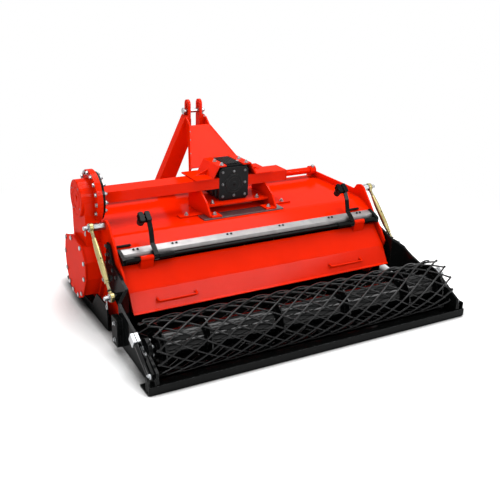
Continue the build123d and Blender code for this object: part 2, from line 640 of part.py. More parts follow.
slant = math.atan2(ADJUSTER_LOW[1] - ADJUSTER_TOP[1], ADJUSTER_LOW[0] - ADJUSTER_TOP[0])
slant_run = math.dist(ADJUSTER_TOP, ADJUSTER_LOW)
with BuildPart() as adjusters:
    for side in (-1, 1):
        down = (0, math.cos(slant), math.sin(slant))
        axis = Plane(origin=(side * ADJUSTER_X, *ADJUSTER_TOP), x_dir=(1, 0, 0), z_dir=down)
        with BuildSketch(axis.offset(-26)):
            Rectangle(38, 50)
        extrude(amount=52)
        with BuildSketch(axis.offset(26)):
            RegularPolygon(9, PIN_SIDES)
        extrude(amount=slant_run - 36)
        eye = yz_polygon(ADJUSTER_LOW, 11, 8, side * ADJUSTER_X - 12)
        extrude(eye, amount=24, dir=ALONG_X)
adjusters.part.label = "scraper_adjusters"
export_step(adjusters.part, "parts/scraper_adjusters.step")

BEARING_T = 18
with BuildPart() as bearings:
    for side in (-1, 1):
        x = span(side, ARM_REAR_X - BEARING_T, ARM_REAR_X)
        extrude(yz_polygon(ROLLER, 52, 8, x), amount=BEARING_T, dir=ALONG_X)
        bore = yz_polygon(ROLLER, AXLE_R + FIT, PIN_SIDES, x)
        extrude(bore, amount=BEARING_T, dir=ALONG_X, mode=Mode.SUBTRACT)
bearings.part.label = "roller_bearings"
export_step(bearings.part, "parts/roller_bearings.step")

# Mesh roller: a core tube with discs, and two crossing families of helical rods ----------------------
DISC_X = (-790, -567, -189, 189, 567, 790)
DISC_R = 108            # to the middle of each of the disc's flats
with BuildPart() as core:
    extrude(yz_polygon(ROLLER, CORE_R, TUBE_SIDES, -800), amount=1600, dir=ALONG_X)
    for x in DISC_X:
        extrude(yz_polygon(ROLLER, DISC_R, RODS, x - 4), amount=8, dir=ALONG_X)
    extrude(yz_disc(ROLLER, AXLE_R, -ARM_REAR_X - ARM_T), amount=2 * (ARM_REAR_X + ARM_T), dir=ALONG_X)
core.part.label = "roller_core"
export_step(core.part, "parts/roller_core.step")

STEPS = 15                             # straight runs along one rod
ROD_REACH = ROD / math.sqrt(2)         # middle of a rod to its corners
for family, sign in (("a", 1), ("b", -1)):
    radius = ROLLER_R - ROD_REACH - (0 if sign > 0 else 2 * ROD_REACH + 0.4)
    with BuildPart() as one:
        points = []
        for i in range(STEPS + 1):
            turn = math.radians(ROD_PHASE + sign * ROD_TURN * (i / STEPS - 1))
            x = -ROLLER_X + 2 * ROLLER_X * i / STEPS
            points.append((x, radius * math.sin(turn), radius * math.cos(turn)))
        with BuildLine() as path:
            Polyline(*points)
        start = Vector(*points[1]) - Vector(*points[0])
        with BuildSketch(Plane(origin=points[0], x_dir=(0, 0, 1), z_dir=start)):
            Rectangle(ROD, ROD)
        sweep(path=path.line, transition=Transition.RIGHT)
    with BuildPart() as net:
        for k in range(RODS):
            add(one.part.moved(Location((0, *ROLLER), (360 / RODS * k, 0, 0))))
    net.part.label = "roller_mesh_" + family
    export_step(net.part, "parts/roller_mesh_" + family + ".step")

# Turnbuckles: an eye on a screw at each end of a long barrel -----------------------------------------
SCREW_RUN = math.dist(SCREW_TOP, SCREW_LOW)
BARREL = (62, 296)                     # stretch of the barrel, measured from the upper pin
BARREL_OUT_R = 15
BARREL_END_R = 11.5
TAPER = 36                             # length over which each end narrows
TAPER_ANGLE = math.degrees(math.atan2(BARREL_OUT_R - BARREL_END_R, TAPER))
UPPER_SCREW = (30, 100)
LOWER_SCREW = (SCREW_RUN - 150, SCREW_RUN - 30)
down = (0, (SCREW_LOW[0] - SCREW_TOP[0]) / SCREW_RUN, (SCREW_LOW[1] - SCREW_TOP[1]) / SCREW_RUN)
for name, side in (("left", -1), ("right", 1)):
    x = side * SCREW_X
    axis = Plane(origin=(x, *SCREW_TOP), x_dir=(1, 0, 0), z_dir=down)
    with BuildPart() as upper:
        extrude(yz_polygon(SCREW_TOP, EYE_R - 1, PIN_SIDES, x - EYE_T / 2), amount=EYE_T, dir=ALONG_X)
        with BuildSketch(axis.offset(15)):
            Rectangle(EYE_T, EYE_T)
        extrude(amount=UPPER_SCREW[0] - 15)
        with BuildSketch(axis.offset(UPPER_SCREW[0])):
            RegularPolygon(SHANK_R, PIN_SIDES)
        extrude(amount=UPPER_SCREW[1] - UPPER_SCREW[0])
        bore = yz_disc(SCREW_TOP, PIN_R + FIT, x - EYE_T / 2)
        extrude(bore, amount=EYE_T, dir=ALONG_X, mode=Mode.SUBTRACT)
    upper.part.label = "screw_upper_" + name
    export_step(upper.part, "parts/screw_upper_" + name + ".step")
    with BuildPart() as barrel:
        for end, way in ((BARREL[0], 1), (BARREL[1], -1)):
            with BuildSketch(axis.offset(end)):
                RegularPolygon(BARREL_END_R, PIN_SIDES, major_radius=False)
            extrude(amount=way * TAPER, taper=-TAPER_ANGLE)
        with BuildSketch(axis.offset(BARREL[0] + TAPER)):
            RegularPolygon(BARREL_OUT_R, PIN_SIDES, major_radius=False)
        extrude(amount=BARREL[1] - BARREL[0] - 2 * TAPER)
        with BuildSketch(axis.offset(BARREL[0])):
            RegularPolygon(SHANK_R, PIN_SIDES, major_radius=False)
        extrude(amount=BARREL[1] - BARREL[0], mode=Mode.SUBTRACT)
    barrel.part.label = "screw_barrel_" + name
    export_step(barrel.part, "parts/screw_barrel_" + name + ".step")
    with BuildPart() as lower:
        extrude(yz_polygon(SCREW_LOW, EYE_R - 1, PIN_SIDES, x - EYE_T / 2), amount=EYE_T, dir=ALONG_X)
        with BuildSketch(axis.offset(LOWER_SCREW[1])):
            Rectangle(EYE_T, EYE_T)
        extrude(amount=15)
        with BuildSketch(axis.offset(LOWER_SCREW[0])):
            RegularPolygon(SHANK_R - 0.6, PIN_SIDES)
        extrude(amount=LOWER_SCREW[1] - LOWER_SCREW[0])
        bore = yz_polygon(SCREW_LOW, PIN_R + 2, PIN_SIDES, x - EYE_T / 2)
        extrude(bore, amount=EYE_T, dir=ALONG_X, mode=Mode.SUBTRACT)
    lower.part.label = "screw_lower_" + name
    export_step(lower.part, "parts/screw_lower_" + name + ".step")
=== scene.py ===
# %% [markdown]
# # A rotavator with a rear hood and a mesh roller
#
# The machine is a tractor implement: a red welded housing over a bladed rotor, a gearbox with a side
# drive on the left, and a black frame behind that carries a mesh roller and a scraper bar. The packed
# CAD model brings the exact shapes and the joints. This lesson dresses it: paint, cast iron, zinc and
# rubber as node materials, and the small parts that a CAD model leaves out, such as bolts, spring
# clips, threads and weld beads. Everything is in metres, in the same frame as the CAD, so a piece goes
# where the CAD says.

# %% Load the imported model
import math
from collections import namedtuple

import bmesh
import bpy
from mathutils import Matrix, Vector


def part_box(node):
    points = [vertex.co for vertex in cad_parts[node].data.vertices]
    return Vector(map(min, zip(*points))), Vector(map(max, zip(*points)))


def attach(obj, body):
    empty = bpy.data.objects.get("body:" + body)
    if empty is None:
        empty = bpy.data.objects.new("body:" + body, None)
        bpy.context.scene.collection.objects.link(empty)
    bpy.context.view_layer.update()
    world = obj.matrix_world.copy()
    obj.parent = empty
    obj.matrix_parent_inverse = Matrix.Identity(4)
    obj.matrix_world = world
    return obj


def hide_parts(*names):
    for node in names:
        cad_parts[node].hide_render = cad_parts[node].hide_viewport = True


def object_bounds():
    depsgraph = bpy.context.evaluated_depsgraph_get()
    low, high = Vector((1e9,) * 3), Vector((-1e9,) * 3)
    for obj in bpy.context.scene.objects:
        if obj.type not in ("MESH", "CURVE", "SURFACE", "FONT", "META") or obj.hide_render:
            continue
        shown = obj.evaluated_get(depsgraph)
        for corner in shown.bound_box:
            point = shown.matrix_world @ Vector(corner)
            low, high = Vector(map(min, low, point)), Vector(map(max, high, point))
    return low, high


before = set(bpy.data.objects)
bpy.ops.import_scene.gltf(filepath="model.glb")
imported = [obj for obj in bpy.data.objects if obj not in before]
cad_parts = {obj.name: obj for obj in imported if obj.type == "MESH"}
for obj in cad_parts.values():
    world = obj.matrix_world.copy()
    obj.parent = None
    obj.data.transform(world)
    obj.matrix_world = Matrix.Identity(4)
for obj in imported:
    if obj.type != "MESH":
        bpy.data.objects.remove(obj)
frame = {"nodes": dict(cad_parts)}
nodes = frame["nodes"]
cad_box = [list(corner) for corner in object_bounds()]
print("CAD nodes:", len(nodes), "box:", cad_box)

# %% [markdown]
# ## The camera
#
# A product shot is taken from behind and above, turned a little to the left side. The camera is set by
# its azimuth, elevation and a slight roll, and by where it stands. Its axes are worked out as vectors,
# because a camera looks along its own -Z: the matrix columns are right, up and back.

# %% The camera
AZIMUTH, ELEVATION, ROLL = (math.radians(a) for a in (-29.5, 21.2, 1.5))
back = Vector((math.sin(AZIMUTH) * math.cos(ELEVATION), -math.cos(AZIMUTH) * math.cos(ELEVATION),
               math.sin(ELEVATION)))
level = (-back).cross(Vector((0, 0, 1))).normalized()
above = level.cross(-back)
right = level * math.cos(ROLL) + above * math.sin(ROLL)
up = above * math.cos(ROLL) - level * math.sin(ROLL)

camera = bpy.data.objects.new("camera", bpy.data.cameras.new("camera"))
camera.data.lens = 55.5
camera.data.sensor_width = 36
camera.matrix_world = Matrix.Translation((-1.9429, -3.4856, 1.7975)) @ Matrix(
    (right, up, back)).transposed().to_4x4()
bpy.context.scene.collection.objects.link(camera)
bpy.context.scene.camera = camera
print("camera stands", round(camera.location.length, 2), "m from the machine's middle")

# %% [markdown]
# ## Shader maths as expressions
#
# A node material is a small program. Wiring every Math node by hand hides what it does, so one class
# wraps a socket and overloads the operators: `1 - mask * 0.5` then adds the two Math nodes itself. All
# other nodes come from one method, which takes the node's type, its settings and its socket values.


# %% A socket that can be calculated with
class Value:
    def __init__(self, finish, socket):
        self.finish = finish
        self.socket = socket

    def maths(self, operation, first, second):
        return self.finish.node("Math", {"operation": operation}, {0: first, 1: second})

    def __add__(self, other):
        return self.maths("ADD", self, other)

    __radd__ = __add__

    def __sub__(self, other):
        return self.maths("SUBTRACT", self, other)

    def __rsub__(self, other):
        return self.maths("SUBTRACT", other, self)

    def __mul__(self, other):
        return self.maths("MULTIPLY", self, other)

    __rmul__ = __mul__

    def __pow__(self, other):
        return self.maths("POWER", self, other)

    def __abs__(self):
        return self.finish.node("Math", {"operation": "ABSOLUTE"}, {0: self})


class Nodes:
    """A node tree that is written like a calculation."""

    def __init__(self, tree):
        self.tree = tree

    def node(self, kind, settings=None, sockets=None, out=0):
        made = self.tree.nodes.new("ShaderNode" + kind)
        for key, value in (settings or {}).items():
            setattr(made, key, value)
        for key, value in (sockets or {}).items():
            self.feed(made.inputs[key], value)
        return Value(self, made.outputs[out])

    def feed(self, socket, value):
        if isinstance(value, Value):
            self.tree.links.new(value.socket, socket)
        else:
            socket.default_value = value

    def ramp(self, value, low, high):
        """0 below low, 1 above high, a straight run between."""
        return self.node("MapRange", {}, {"Value": value, "From Min": low, "From Max": high})


class Finish(Nodes):
    """A node material: a Principled BSDF and whatever feeds it."""

    def __init__(self, name, **fixed):
        self.material = bpy.data.materials.new(name)
        self.material.use_nodes = True
        super().__init__(self.material.node_tree)
        self.shader = self.tree.nodes["Principled BSDF"]
        for socket, value in fixed.items():
            self.shader.inputs[socket.replace("_", " ")].default_value = value
        self.place = self.node("TexCoord", out="Object")

    def noise(self, scale, detail=3.0, rough=0.5, stretch=(1, 1, 1)):
        at = self.node("VectorMath", {"operation": "MULTIPLY"}, {0: self.place, 1: stretch})
        return self.node("TexNoise", {}, {"Vector": at, "Scale": scale, "Detail": detail,
                                          "Roughness": rough})

    def mix(self, mask, first, second):
        return self.node("Mix", {"data_type": "RGBA"}, {0: mask, 6: first, 7: second}, out=2)

    def edges(self, radius):
        """The normal with its sharp edges rounded, and a mask that is 1 along those edges."""
        soft = self.node("Bevel", {"samples": 4}, {"Radius": radius})
        plain = self.node("NewGeometry", out="Normal")
        alike = self.node("VectorMath", {"operation": "DOT_PRODUCT"}, {0: soft, 1: plain}, out=1)
        return soft, self.ramp(1 - alike, 0.02, 0.22)

    def corners(self, distance, strength):
        """A mask for painted shade: 0 in the open, up to strength deep in a corner."""
        open_sky = self.node("AmbientOcclusion", {"samples": 4}, {"Distance": distance}, out="AO")
        return (1 - open_sky) * strength

    def finish(self, colour, rough, height=None, depth=0.0002, normal=None, metal=None):
        """Feeds the shader and returns the material."""
        self.feed(self.shader.inputs["Base Color"], colour)
        self.feed(self.shader.inputs["Roughness"], rough)
        if metal is not None:
            self.shader.inputs["Metallic"].default_value = metal
        if height is not None:
            bump = {"Height": height, "Distance": depth, "Strength": 1.0}
            if normal is not None:
                bump["Normal"] = normal
            normal = self.node("Bump", {}, bump)
        if normal is not None:
            self.feed(self.shader.inputs["Normal"], normal)
        return self.material


def rgb(red, green, blue):
    """A colour as it looks on screen, from 0 to 255, as the linear value that a socket wants."""
    return tuple((c / 255) ** 2.2 for c in (red, green, blue)) + (1.0,)


def shade(colour, factor):
    """The same colour, darker or lighter."""
    return tuple(min(1.0, c * factor) for c in colour[:3]) + (1.0,)


# %% [markdown]
# ## Paint
#
# The red coat is a baked powder paint: even in colour, with the fine orange-peel ripple of paint that
# flowed a little. It is thin on sharp edges, where it shows a paler line, and its corners get painted
# shade, a darker copy of its colour. The black coat on the frame and roller is the same paint in
# another colour, with grey rub marks. One function makes both, because one paint line does both.


# %% The coats of paint
def paint(name, colour, edge, rub, shine, wear, dust, gloss, ripple=0.0):
    coat = Finish(name, Coat_Roughness=0.12, Specular_IOR_Level=0.0, Coat_Weight=gloss)
    normal, rim = coat.edges(0.0022)
    tone = coat.noise(7, 2)
    fine = coat.noise(90, 4, 0.6)
    base = coat.mix(tone, shade(colour, 0.9), shade(colour, 1.08))
    # painted shade: the corners are mixed to a darker copy of the paint's colour
    base = coat.mix(coat.corners(0.05, 0.8), base, shade(colour, 0.35))
    base = coat.mix(rim * coat.ramp(fine, 0.42, 0.7) * wear, base, edge)
    streak = coat.noise(16, 6, 0.72, (1, 3.4, 3.4))
    rubbed = coat.ramp(streak, 0.56, 0.8) * dust
    base = coat.mix(rubbed, base, rub)
    rough = coat.ramp(coat.noise(24, 3), 0.2, 0.9) * 0.12 + (shine + rubbed * 0.2)
    skin_height = coat.noise(420, 1) * 0.02 + coat.noise(26, 2) * ripple
    return coat.finish(base, rough, skin_height, 0.0015, normal)


red_paint = paint("red_paint", rgb(236, 40, 8), rgb(255, 124, 84), rgb(224, 56, 24),
                  shine=0.30, wear=0.5, dust=0.08, gloss=0.12)
black_paint = paint("black_paint", rgb(21, 22, 22), rgb(130, 132, 132), rgb(54, 55, 55),
                    shine=0.32, wear=0.75, dust=0.3, gloss=0.2)
roller_paint = paint("roller_paint", rgb(13, 14, 15), rgb(150, 152, 152), rgb(26, 27, 27),
                     shine=0.16, wear=0.5, dust=0.1, gloss=0.6)
rippled_paint = paint("rippled_paint", rgb(9, 10, 11), rgb(150, 152, 152), rgb(24, 25, 25),
                      shine=0.14, wear=0.5, dust=0.0, gloss=0.5, ripple=0.5)
print("paints:", red_paint.name, black_paint.name, roller_paint.name)

# %% [markdown]
# ## Bare and plated metal
#
# The clamp bar and the slide strip are drawn aluminium: pale, brushed along their length. The
# turnbuckles are zinc plated with a yellow passivation, which drifts between straw and olive. Bolts,
# pins and nuts are bright zinc. The gearbox is cast iron under black paint, so its skin is grainy.


# %% Metals and rubber
def metal(name, low, high, shine, grain, length=(1, 1, 1), depth=0.00002):
    plate = Finish(name)
    normal, rim = plate.edges(0.0012)
    cloud = plate.noise(22, 3, 0.6)
    line = plate.noise(grain, 3, 0.6, length)
    base = plate.mix(cloud, low, high)
    base = plate.mix(plate.ramp(line, 0.35, 0.65) * 0.25, base, shade(low, 0.75))
    # painted highlight: every edge of the metal is mixed towards near-white
    base = plate.mix(rim * 0.35, base, rgb(240, 240, 238))
    # painted shade: corners of the metal go to a much darker copy of its colour
    base = plate.mix(plate.corners(0.02, 0.8), base, shade(low, 0.12))
    rough = plate.ramp(line, 0.25, 0.75) * 0.16 + shine
    return plate.finish(base, rough, line, depth, normal, 1.0)


aluminium = metal("aluminium", rgb(132, 130, 130), rgb(180, 178, 178), 0.30, 60, (0.4, 14, 14))
yellow_zinc = metal("yellow_zinc", rgb(150, 136, 84), rgb(210, 198, 146), 0.24, 70)
bright_zinc = metal("bright_zinc", rgb(140, 143, 146), rgb(206, 208, 210), 0.22, 80)
steel = metal("steel", rgb(88, 90, 92), rgb(150, 152, 154), 0.28, 120, (1, 6, 6))


def cast(name, colour, rub):
    iron = Finish(name, Coat_Roughness=0.2, Specular_IOR_Level=0.05, Coat_Weight=0.3)
    normal, rim = iron.edges(0.003)
    grain = iron.noise(260, 5, 0.65)
    cloud = iron.noise(12, 3)
    base = iron.mix(cloud, colour, rub)
    # painted highlight: every edge of the cast iron is mixed towards a paler grey
    base = iron.mix(rim * 0.5, base, rgb(84, 86, 86))
    rough = iron.ramp(cloud, 0.2, 0.8) * 0.15 + 0.34
    return iron.finish(base, rough, grain, 0.0004, normal)


cast_black = cast("cast_black", rgb(12, 13, 14), rgb(24, 25, 26))


def rubber(name):
    soft = Finish(name, Specular_IOR_Level=0.25)
    cloud = soft.noise(60, 3)
    base = soft.mix(cloud, rgb(14, 14, 15), rgb(30, 30, 31))
    return soft.finish(base, cloud * 0.2 + 0.55, soft.noise(500, 2), 0.0001)


black_rubber = rubber("black_rubber")
print("metals:", aluminium.name, yellow_zinc.name, bright_zinc.name, steel.name, cast_black.name)

# %% [markdown]
# ## The CAD parts get their finishes
#
# The CAD shapes that are right stay as they are and only take a material. The table says which finish
# each group of nodes has; everything that isn't named is red, like most of the machine.

# %% Finishes of the CAD parts
finishes = (
    (aluminium, ("clamp_bar",)),
    (black_paint, (
        "roller_arm_left", "roller_arm_right", "scraper_bar", "roller_bearings", "skid_left",
        "skid_right", "hood_stops", "hinge_rod", "drive_ring", "rotor_blades", "rotor_shaft",
        "rotor_bearing", "arm_pivots", "hinge_knuckles")),
    (roller_paint, ("roller_core", "roller_mesh_a", "roller_mesh_b")),
    (cast_black, ("gearbox", "gearbox_cover")),
    (yellow_zinc, (
        "screw_upper_left", "screw_upper_right", "screw_barrel_left", "screw_barrel_right",
        "screw_lower_left", "screw_lower_right")),
    (bright_zinc, ("screw_studs", "top_link_pin", "hitch_pins")),
    (steel, ("slide_strip", "input_shaft", "scraper_adjusters")),
    (black_rubber, ("stop_buffers", "seal_strip")),
)
finish_of = {node: material for material, group in finishes for node in group}
for name, node in nodes.items():
    node.data.materials.clear()
    node.data.materials.append(finish_of.get(name, red_paint))
print("red parts:", sorted(set(nodes) - set(finish_of)))

# %% [markdown]
# ## The studio
#
# A pale floor and a white room, as in a catalogue. A large soft lamp hangs overhead, a long strip lamp
# behind the roller draws bright lines along its round parts, and a weak one fills the left side. The
# floor adds some white of its own for the rays that see it and turns plain white further out, so that
# it melts into the background. Near the machine an occlusion mask takes that white away and paints a
# shadow into the floor's own colour. It can't see far under a low machine, so a fixed rectangle with
# soft edges paints that shadow on the ground below as well.


# %% Floor, room and lamps
def lamp(name, at, towards, size, power):
    data = bpy.data.lights.new(name, "AREA")
    data.shape = "RECTANGLE"
    data.size, data.size_y = size
    data.energy = power
    made = bpy.data.objects.new(name, data)
    made.location = at
    made.rotation_euler = (Vector(towards) - Vector(at)).to_track_quat("-Z", "Y").to_euler()
    bpy.context.scene.collection.objects.link(made)


lamp("lamp_above", (0.5, 0.5, 3.4), (0, 0, 0.3), (3.0, 2.4), 104)
lamp("lamp_strip", (1.7, -3.3, 2.5), (0.2, -0.3, 0.25), (3.0, 0.6), 46)
lamp("lamp_left", (-3.2, -2.2, 2.2), (-0.4, 0, 0.3), (1.2, 1.2), 32)

world = bpy.data.worlds.new("room")
bpy.context.scene.world = world
world.use_nodes = True


def seen_rays(nodes):
    """1 for camera, glossy and transmission rays, which see the studio as plain white."""
    kinds = ("Is Camera Ray", "Is Glossy Ray", "Is Transmission Ray")
    camera, glossy, through = (nodes.node("LightPath", out=kind) for kind in kinds)
    return nodes.ramp(camera + glossy + through, 0.0, 1.0)


room = Nodes(world.node_tree)
height = room.node("SeparateXYZ", {}, {0: room.node("TexCoord", out="Generated")}, out="Z")
sky = room.ramp(height, 0.0, 0.75) * 0.46 + 0.16              # darker walls, bright ceiling
backdrop = world.node_tree.nodes["Background"]
backdrop.inputs["Color"].default_value = (1, 1, 1, 1)
room.feed(backdrop.inputs["Strength"], room.node("Mix", {}, {0: seen_rays(room), 2: sky, 3: 1.0}))
bpy.context.scene.view_settings.view_transform = "Standard"

ground = Finish("studio_floor")
seen = seen_rays(ground)
open_sky = ground.node("AmbientOcclusion", {"samples": 8}, {"Distance": 0.6}, out="AO")
beside, behind = (ground.node("SeparateXYZ", {}, {0: ground.place}, out=axis) for axis in "XY")
across, along = abs(beside - 0.045), abs(behind + 0.08)       # from the middle of the machine
# painted shadow under the machine: a fixed rectangle with soft edges
under = ground.ramp(across, 0.945, 0.845) * ground.ramp(along, 0.74, 0.62) * 0.93
shadow = ground.ramp(open_sky, 0.26, 0.66) * (1 - under)
# painted shadow: near and under the machine the floor's own colour goes nearly black
floor_colour = ground.mix(shadow ** 1.5, rgb(10, 10, 10), rgb(236, 236, 236))
pale = ground.node("BsdfDiffuse", {}, {"Color": floor_colour})
glow = ground.node("Emission", {}, {"Strength": seen * (shadow ** 2) * 0.42})
near = ground.node("AddShader", {}, {0: pale, 1: glow})
far_white = ground.node("Emission", {}, {"Strength": 1.0})
distance = ground.node("VectorMath", {"operation": "LENGTH"}, {0: ground.place}, out=1)
blend = ground.node("MixShader", {}, {0: ground.ramp(distance, 1.5, 2.6) * seen, 1: near, 2: far_white})
ground.tree.links.new(blend.socket, ground.tree.nodes["Material Output"].inputs["Surface"])
floor_mesh = bpy.data.meshes.new("floor")
FLOOR = 40                                                    # half its side
corners = [(-FLOOR, -FLOOR, 0), (FLOOR, -FLOOR, 0), (FLOOR, FLOOR, 0), (-FLOOR, FLOOR, 0)]
floor_mesh.from_pydata(corners, [], [(0, 1, 2, 3)])
floor_mesh.materials.append(ground.material)
floor = bpy.data.objects.new("floor", floor_mesh)
floor.location.z = cad_box[0][2] - 0.001
bpy.context.scene.collection.objects.link(floor)
print("floor at", round(floor.location.z, 3))

# %% [markdown]
# ## Turned, swept and flat parts
#
# Three kinds of mesh make all the small parts. A turned part is a profile of radius and height spun
# round an axis, and with six sides the same profile gives a hexagon. A swept part is a round section
# carried along a line, such as a bent handle or a spring clip. A flat part is an outline with a
# thickness and softened rims. Each helper adds to a mesh, so that many small parts share one object.


# %% Helpers for small parts
Box = namedtuple("Box", "low high middle")


def facing(at, way):
    """A matrix that puts the origin at a point and turns +Z along a direction."""
    return Matrix.Translation(at) @ Vector(way).to_track_quat("Z", "Y").to_matrix().to_4x4()


def skin(mesh, rings, joined=False):
    """Faces between rings of vertices; open ends are capped, or the last ring meets the first."""
    pairs = list(zip(rings, rings[1:]))
    if joined:
        pairs.append((rings[-1], rings[0]))
    else:
        mesh.faces.new(rings[0][::-1])
        mesh.faces.new(rings[-1])
    for low, high in pairs:
        for k in range(len(low)):
            after = (k + 1) % len(low)
            mesh.faces.new((low[k], low[after], high[after], high[k]))


def spun(mesh, profile, place, sides=20, turn=0.0, joined=False):
    rings = []
    for radius, height in profile:
        angles = [turn + 2 * math.pi * k / sides for k in range(sides)]
        rings.append([mesh.verts.new(place @ Vector((radius * math.cos(a), radius * math.sin(a), height)))
                      for a in angles])
    skin(mesh, rings, joined)


def ring(mesh, place, inner, outer, thick, sides=32, rim=0.001):
    """A flat ring with softened rims, its middle at the place's origin."""
    half = thick / 2
    spun(mesh, [(inner, -half + rim), (inner + rim, -half), (outer - rim, -half), (outer, -half + rim),
                (outer, half - rim), (outer - rim, half), (inner + rim, half), (inner, half - rim)],
         place, sides, joined=True)


def swept(mesh, line, radius, sides=10, joined=False):
    """A round bar along a line of points; its section is carried on without twisting."""
    line = [Vector(point) for point in line]
    rings = []
    across = None
    for i, at in enumerate(line):
        ahead = line[(i + 1) % len(line)] if joined else line[min(i + 1, len(line) - 1)]
        behind = line[i - 1] if joined or i else line[0]
        way = (ahead - behind).normalized()
        across = way.orthogonal() if across is None else across - way * across.dot(way)
        across.normalize()
        over = way.cross(across)
        thick = radius(i / (len(line) - 1)) if callable(radius) else radius
        angles = [2 * math.pi * k / sides for k in range(sides)]
        rings.append([mesh.verts.new(at + thick * (math.cos(a) * across + math.sin(a) * over))
                      for a in angles])
    skin(mesh, rings, joined)


def rounded(points, radius, steps=5):
    """A line of points whose inner corners are rounded by an arc of about the radius."""
    points = [Vector(point) for point in points]
    line = [points[0]]
    for before, at, after in zip(points, points[1:], points[2:]):
        inwards = (before - at).normalized()
        onwards = (after - at).normalized()
        start, end = at + inwards * radius, at + onwards * radius
        for k in range(steps + 1):
            t = k / steps
            line.append(start * (1 - t) ** 2 + at * 2 * t * (1 - t) + end * t ** 2)
    return line + [points[-1]]


def slab(mesh, outline, place, thick, rim=0.001):
    """A flat part: an outline round the origin, with its rims softened by a step towards the middle."""
    middle = sum((Vector(p) for p in outline), Vector((0, 0))) / len(outline)
    rings = []
    for inset, height in ((rim, 0), (0, rim), (0, thick - rim), (rim, thick)):
        row = []
        for point in outline:
            off = Vector(point) - middle
            near = Vector(point) - off.normalized() * inset
            row.append(mesh.verts.new(place @ Vector((near.x, near.y, height))))
        rings.append(row)
    skin(mesh, rings)


def piece(name, mesh, body, material, sharp=35):
    """Makes the object from a bmesh, in place, riding on its body."""
    data = bpy.data.meshes.new(name)
    bmesh.ops.recalc_face_normals(mesh, faces=mesh.faces)
    mesh.to_mesh(data)
    mesh.free()
    data.shade_smooth()
    data.set_sharp_from_angle(angle=math.radians(sharp))
    data.materials.append(material)
    made = bpy.data.objects.new(name, data)
    bpy.context.scene.collection.objects.link(made)
    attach(made, body)
    print(name, "on", body, "with", len(data.polygons), "faces")
    return made


def bolt(mesh, at, way, size, turn=0.0, washer=True, stub=0.0):
    """A hexagon head with chamfered corners on a washer; a stub of thread makes it a nut."""
    place = facing(at, way)
    flat = 0.16 * size if washer else 0.0
    if washer:
        spun(mesh, [(1.05 * size, 0), (1.1 * size, 0.5 * flat), (1.05 * size, flat)], place, 20)
    spun(mesh, [(0.80 * size, flat), (0.86 * size, flat + 0.06 * size), (0.86 * size, flat + 0.56 * size),
                (0.76 * size, flat + 0.66 * size)], place, 6, turn)
    if stub:
        top = flat + 0.66 * size
        spun(mesh, thread(0.48 * size, top, top + stub, 0.0015), place, 14)


def thread(radius, start, end, pitch, depth=0.12):
    """Profile of a threaded length: ridges and grooves one pitch apart."""
    turns = max(1, round((end - start) / pitch))
    profile = []
    for k in range(turns):
        at = start + (end - start) * k / turns
        profile.append((radius * (1 - depth), at))
        profile.append((radius, at + 0.5 * (end - start) / turns))
    return profile + [(radius * (1 - depth), end)]


def dome(mesh, at, way, size):
    """A cup head, low and round."""
    spun(mesh, [(size, 0), (0.98 * size, 0.16 * size), (0.84 * size, 0.38 * size), (0.55 * size, 0.54 * size),
                (0.2 * size, 0.6 * size)], facing(at, way), 18)


def bead(mesh, start, end, size=0.004):
    """A weld bead: a thin bar whose thickness ripples as the puddle did."""
    start, end = Vector(start), Vector(end)
    count = max(8, int((end - start).length / 0.004))
    line = [start.lerp(end, k / count) for k in range(count + 1)]
    swept(mesh, line, lambda t: size * (0.86 + 0.14 * math.sin(t * count * 1.9)), 6)


def box_of(node):
    """Lowest corner, highest corner and middle of a CAD node."""
    low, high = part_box(node)
    return Box(low, high, (low + high) / 2)


def rim_points(node, x):
    """Corners of a CAD plate's face at a given X, in order round its middle, as (Y, Z)."""
    middle = box_of(node).middle
    face = [v.co for v in nodes[node].data.vertices if abs(v.co.x - x) < 0.0008]
    found = {(round(co.y, 4), round(co.z, 4)) for co in face}
    return sorted(found, key=lambda p: math.atan2(p[1] - middle.z, p[0] - middle.y))


def circle(x, middle, radius, angles):
    """Points round a middle at a given X, at angles in degrees, from the front upwards."""
    turns = [math.radians(angle) for angle in angles]
    return [Vector((x, middle.y + radius * math.cos(a), middle.z + radius * math.sin(a))) for a in turns]


print("helpers ready")

# %% [markdown]
# ## Gearbox
#
# The housing is a casting closed at the back by a plate. Eight bolts hold the plate, and two thin turned
# rings in its middle centre the bearing. A filler plug sits between the fins on top. The sides of a
# real casting carry ribs from the bearing seat to the feet, which stiffen it, so they are added here.

# %% Gearbox cover, ribs and plug
cover = box_of("gearbox_cover")
middle = cover.middle
cover_face = cover.low.y + 0.004            # the flat of the cover, 4 mm below its raised middle
BOLT_SQUARE = 0.069
mesh = bmesh.new()
for i in (-1, 0, 1):
    for j in (-1, 0, 1):
        if i or j:
            at = (middle.x + i * BOLT_SQUARE, cover_face, middle.z + j * BOLT_SQUARE)
            bolt(mesh, at, (0, -1, 0), 0.0075, 0.3 * i + 0.2 * j)
piece("gearbox_cover_bolts", mesh, "chassis", steel)

mesh = bmesh.new()
for inner, outer, proud in ((0.046, 0.050, 0.0008), (0.034, 0.037, 0.0008), (0.0535, 0.0565, -0.003)):
    seat = facing((middle.x, cover.low.y - proud + 0.001, middle.z), (0, -1, 0))
    ring(mesh, seat, inner, outer, 0.003, 48, 0.0006)
seat = facing((middle.x, cover.low.y, middle.z), (0, -1, 0))
spun(mesh, [(0.012, 0), (0.012, 0.001), (0.010, 0.0016)], seat, 24)
gearbox = box_of("gearbox")
RIB = [(-0.006, 0.0), (0.006, 0.0), (0.003, 0.008), (-0.003, 0.008)]
RIB_LENGTH = 0.055
for side in (-1, 1):
    for y in (0.19, 0.225, 0.29, 0.32):
        run = Matrix(((0, side, 0, side * gearbox.high.x), (1, 0, 0, y), (0, 0, 1, gearbox.low.z + 0.012),
                      (0, 0, 0, 1)))
        slab(mesh, RIB, run, RIB_LENGTH, 0.0008)
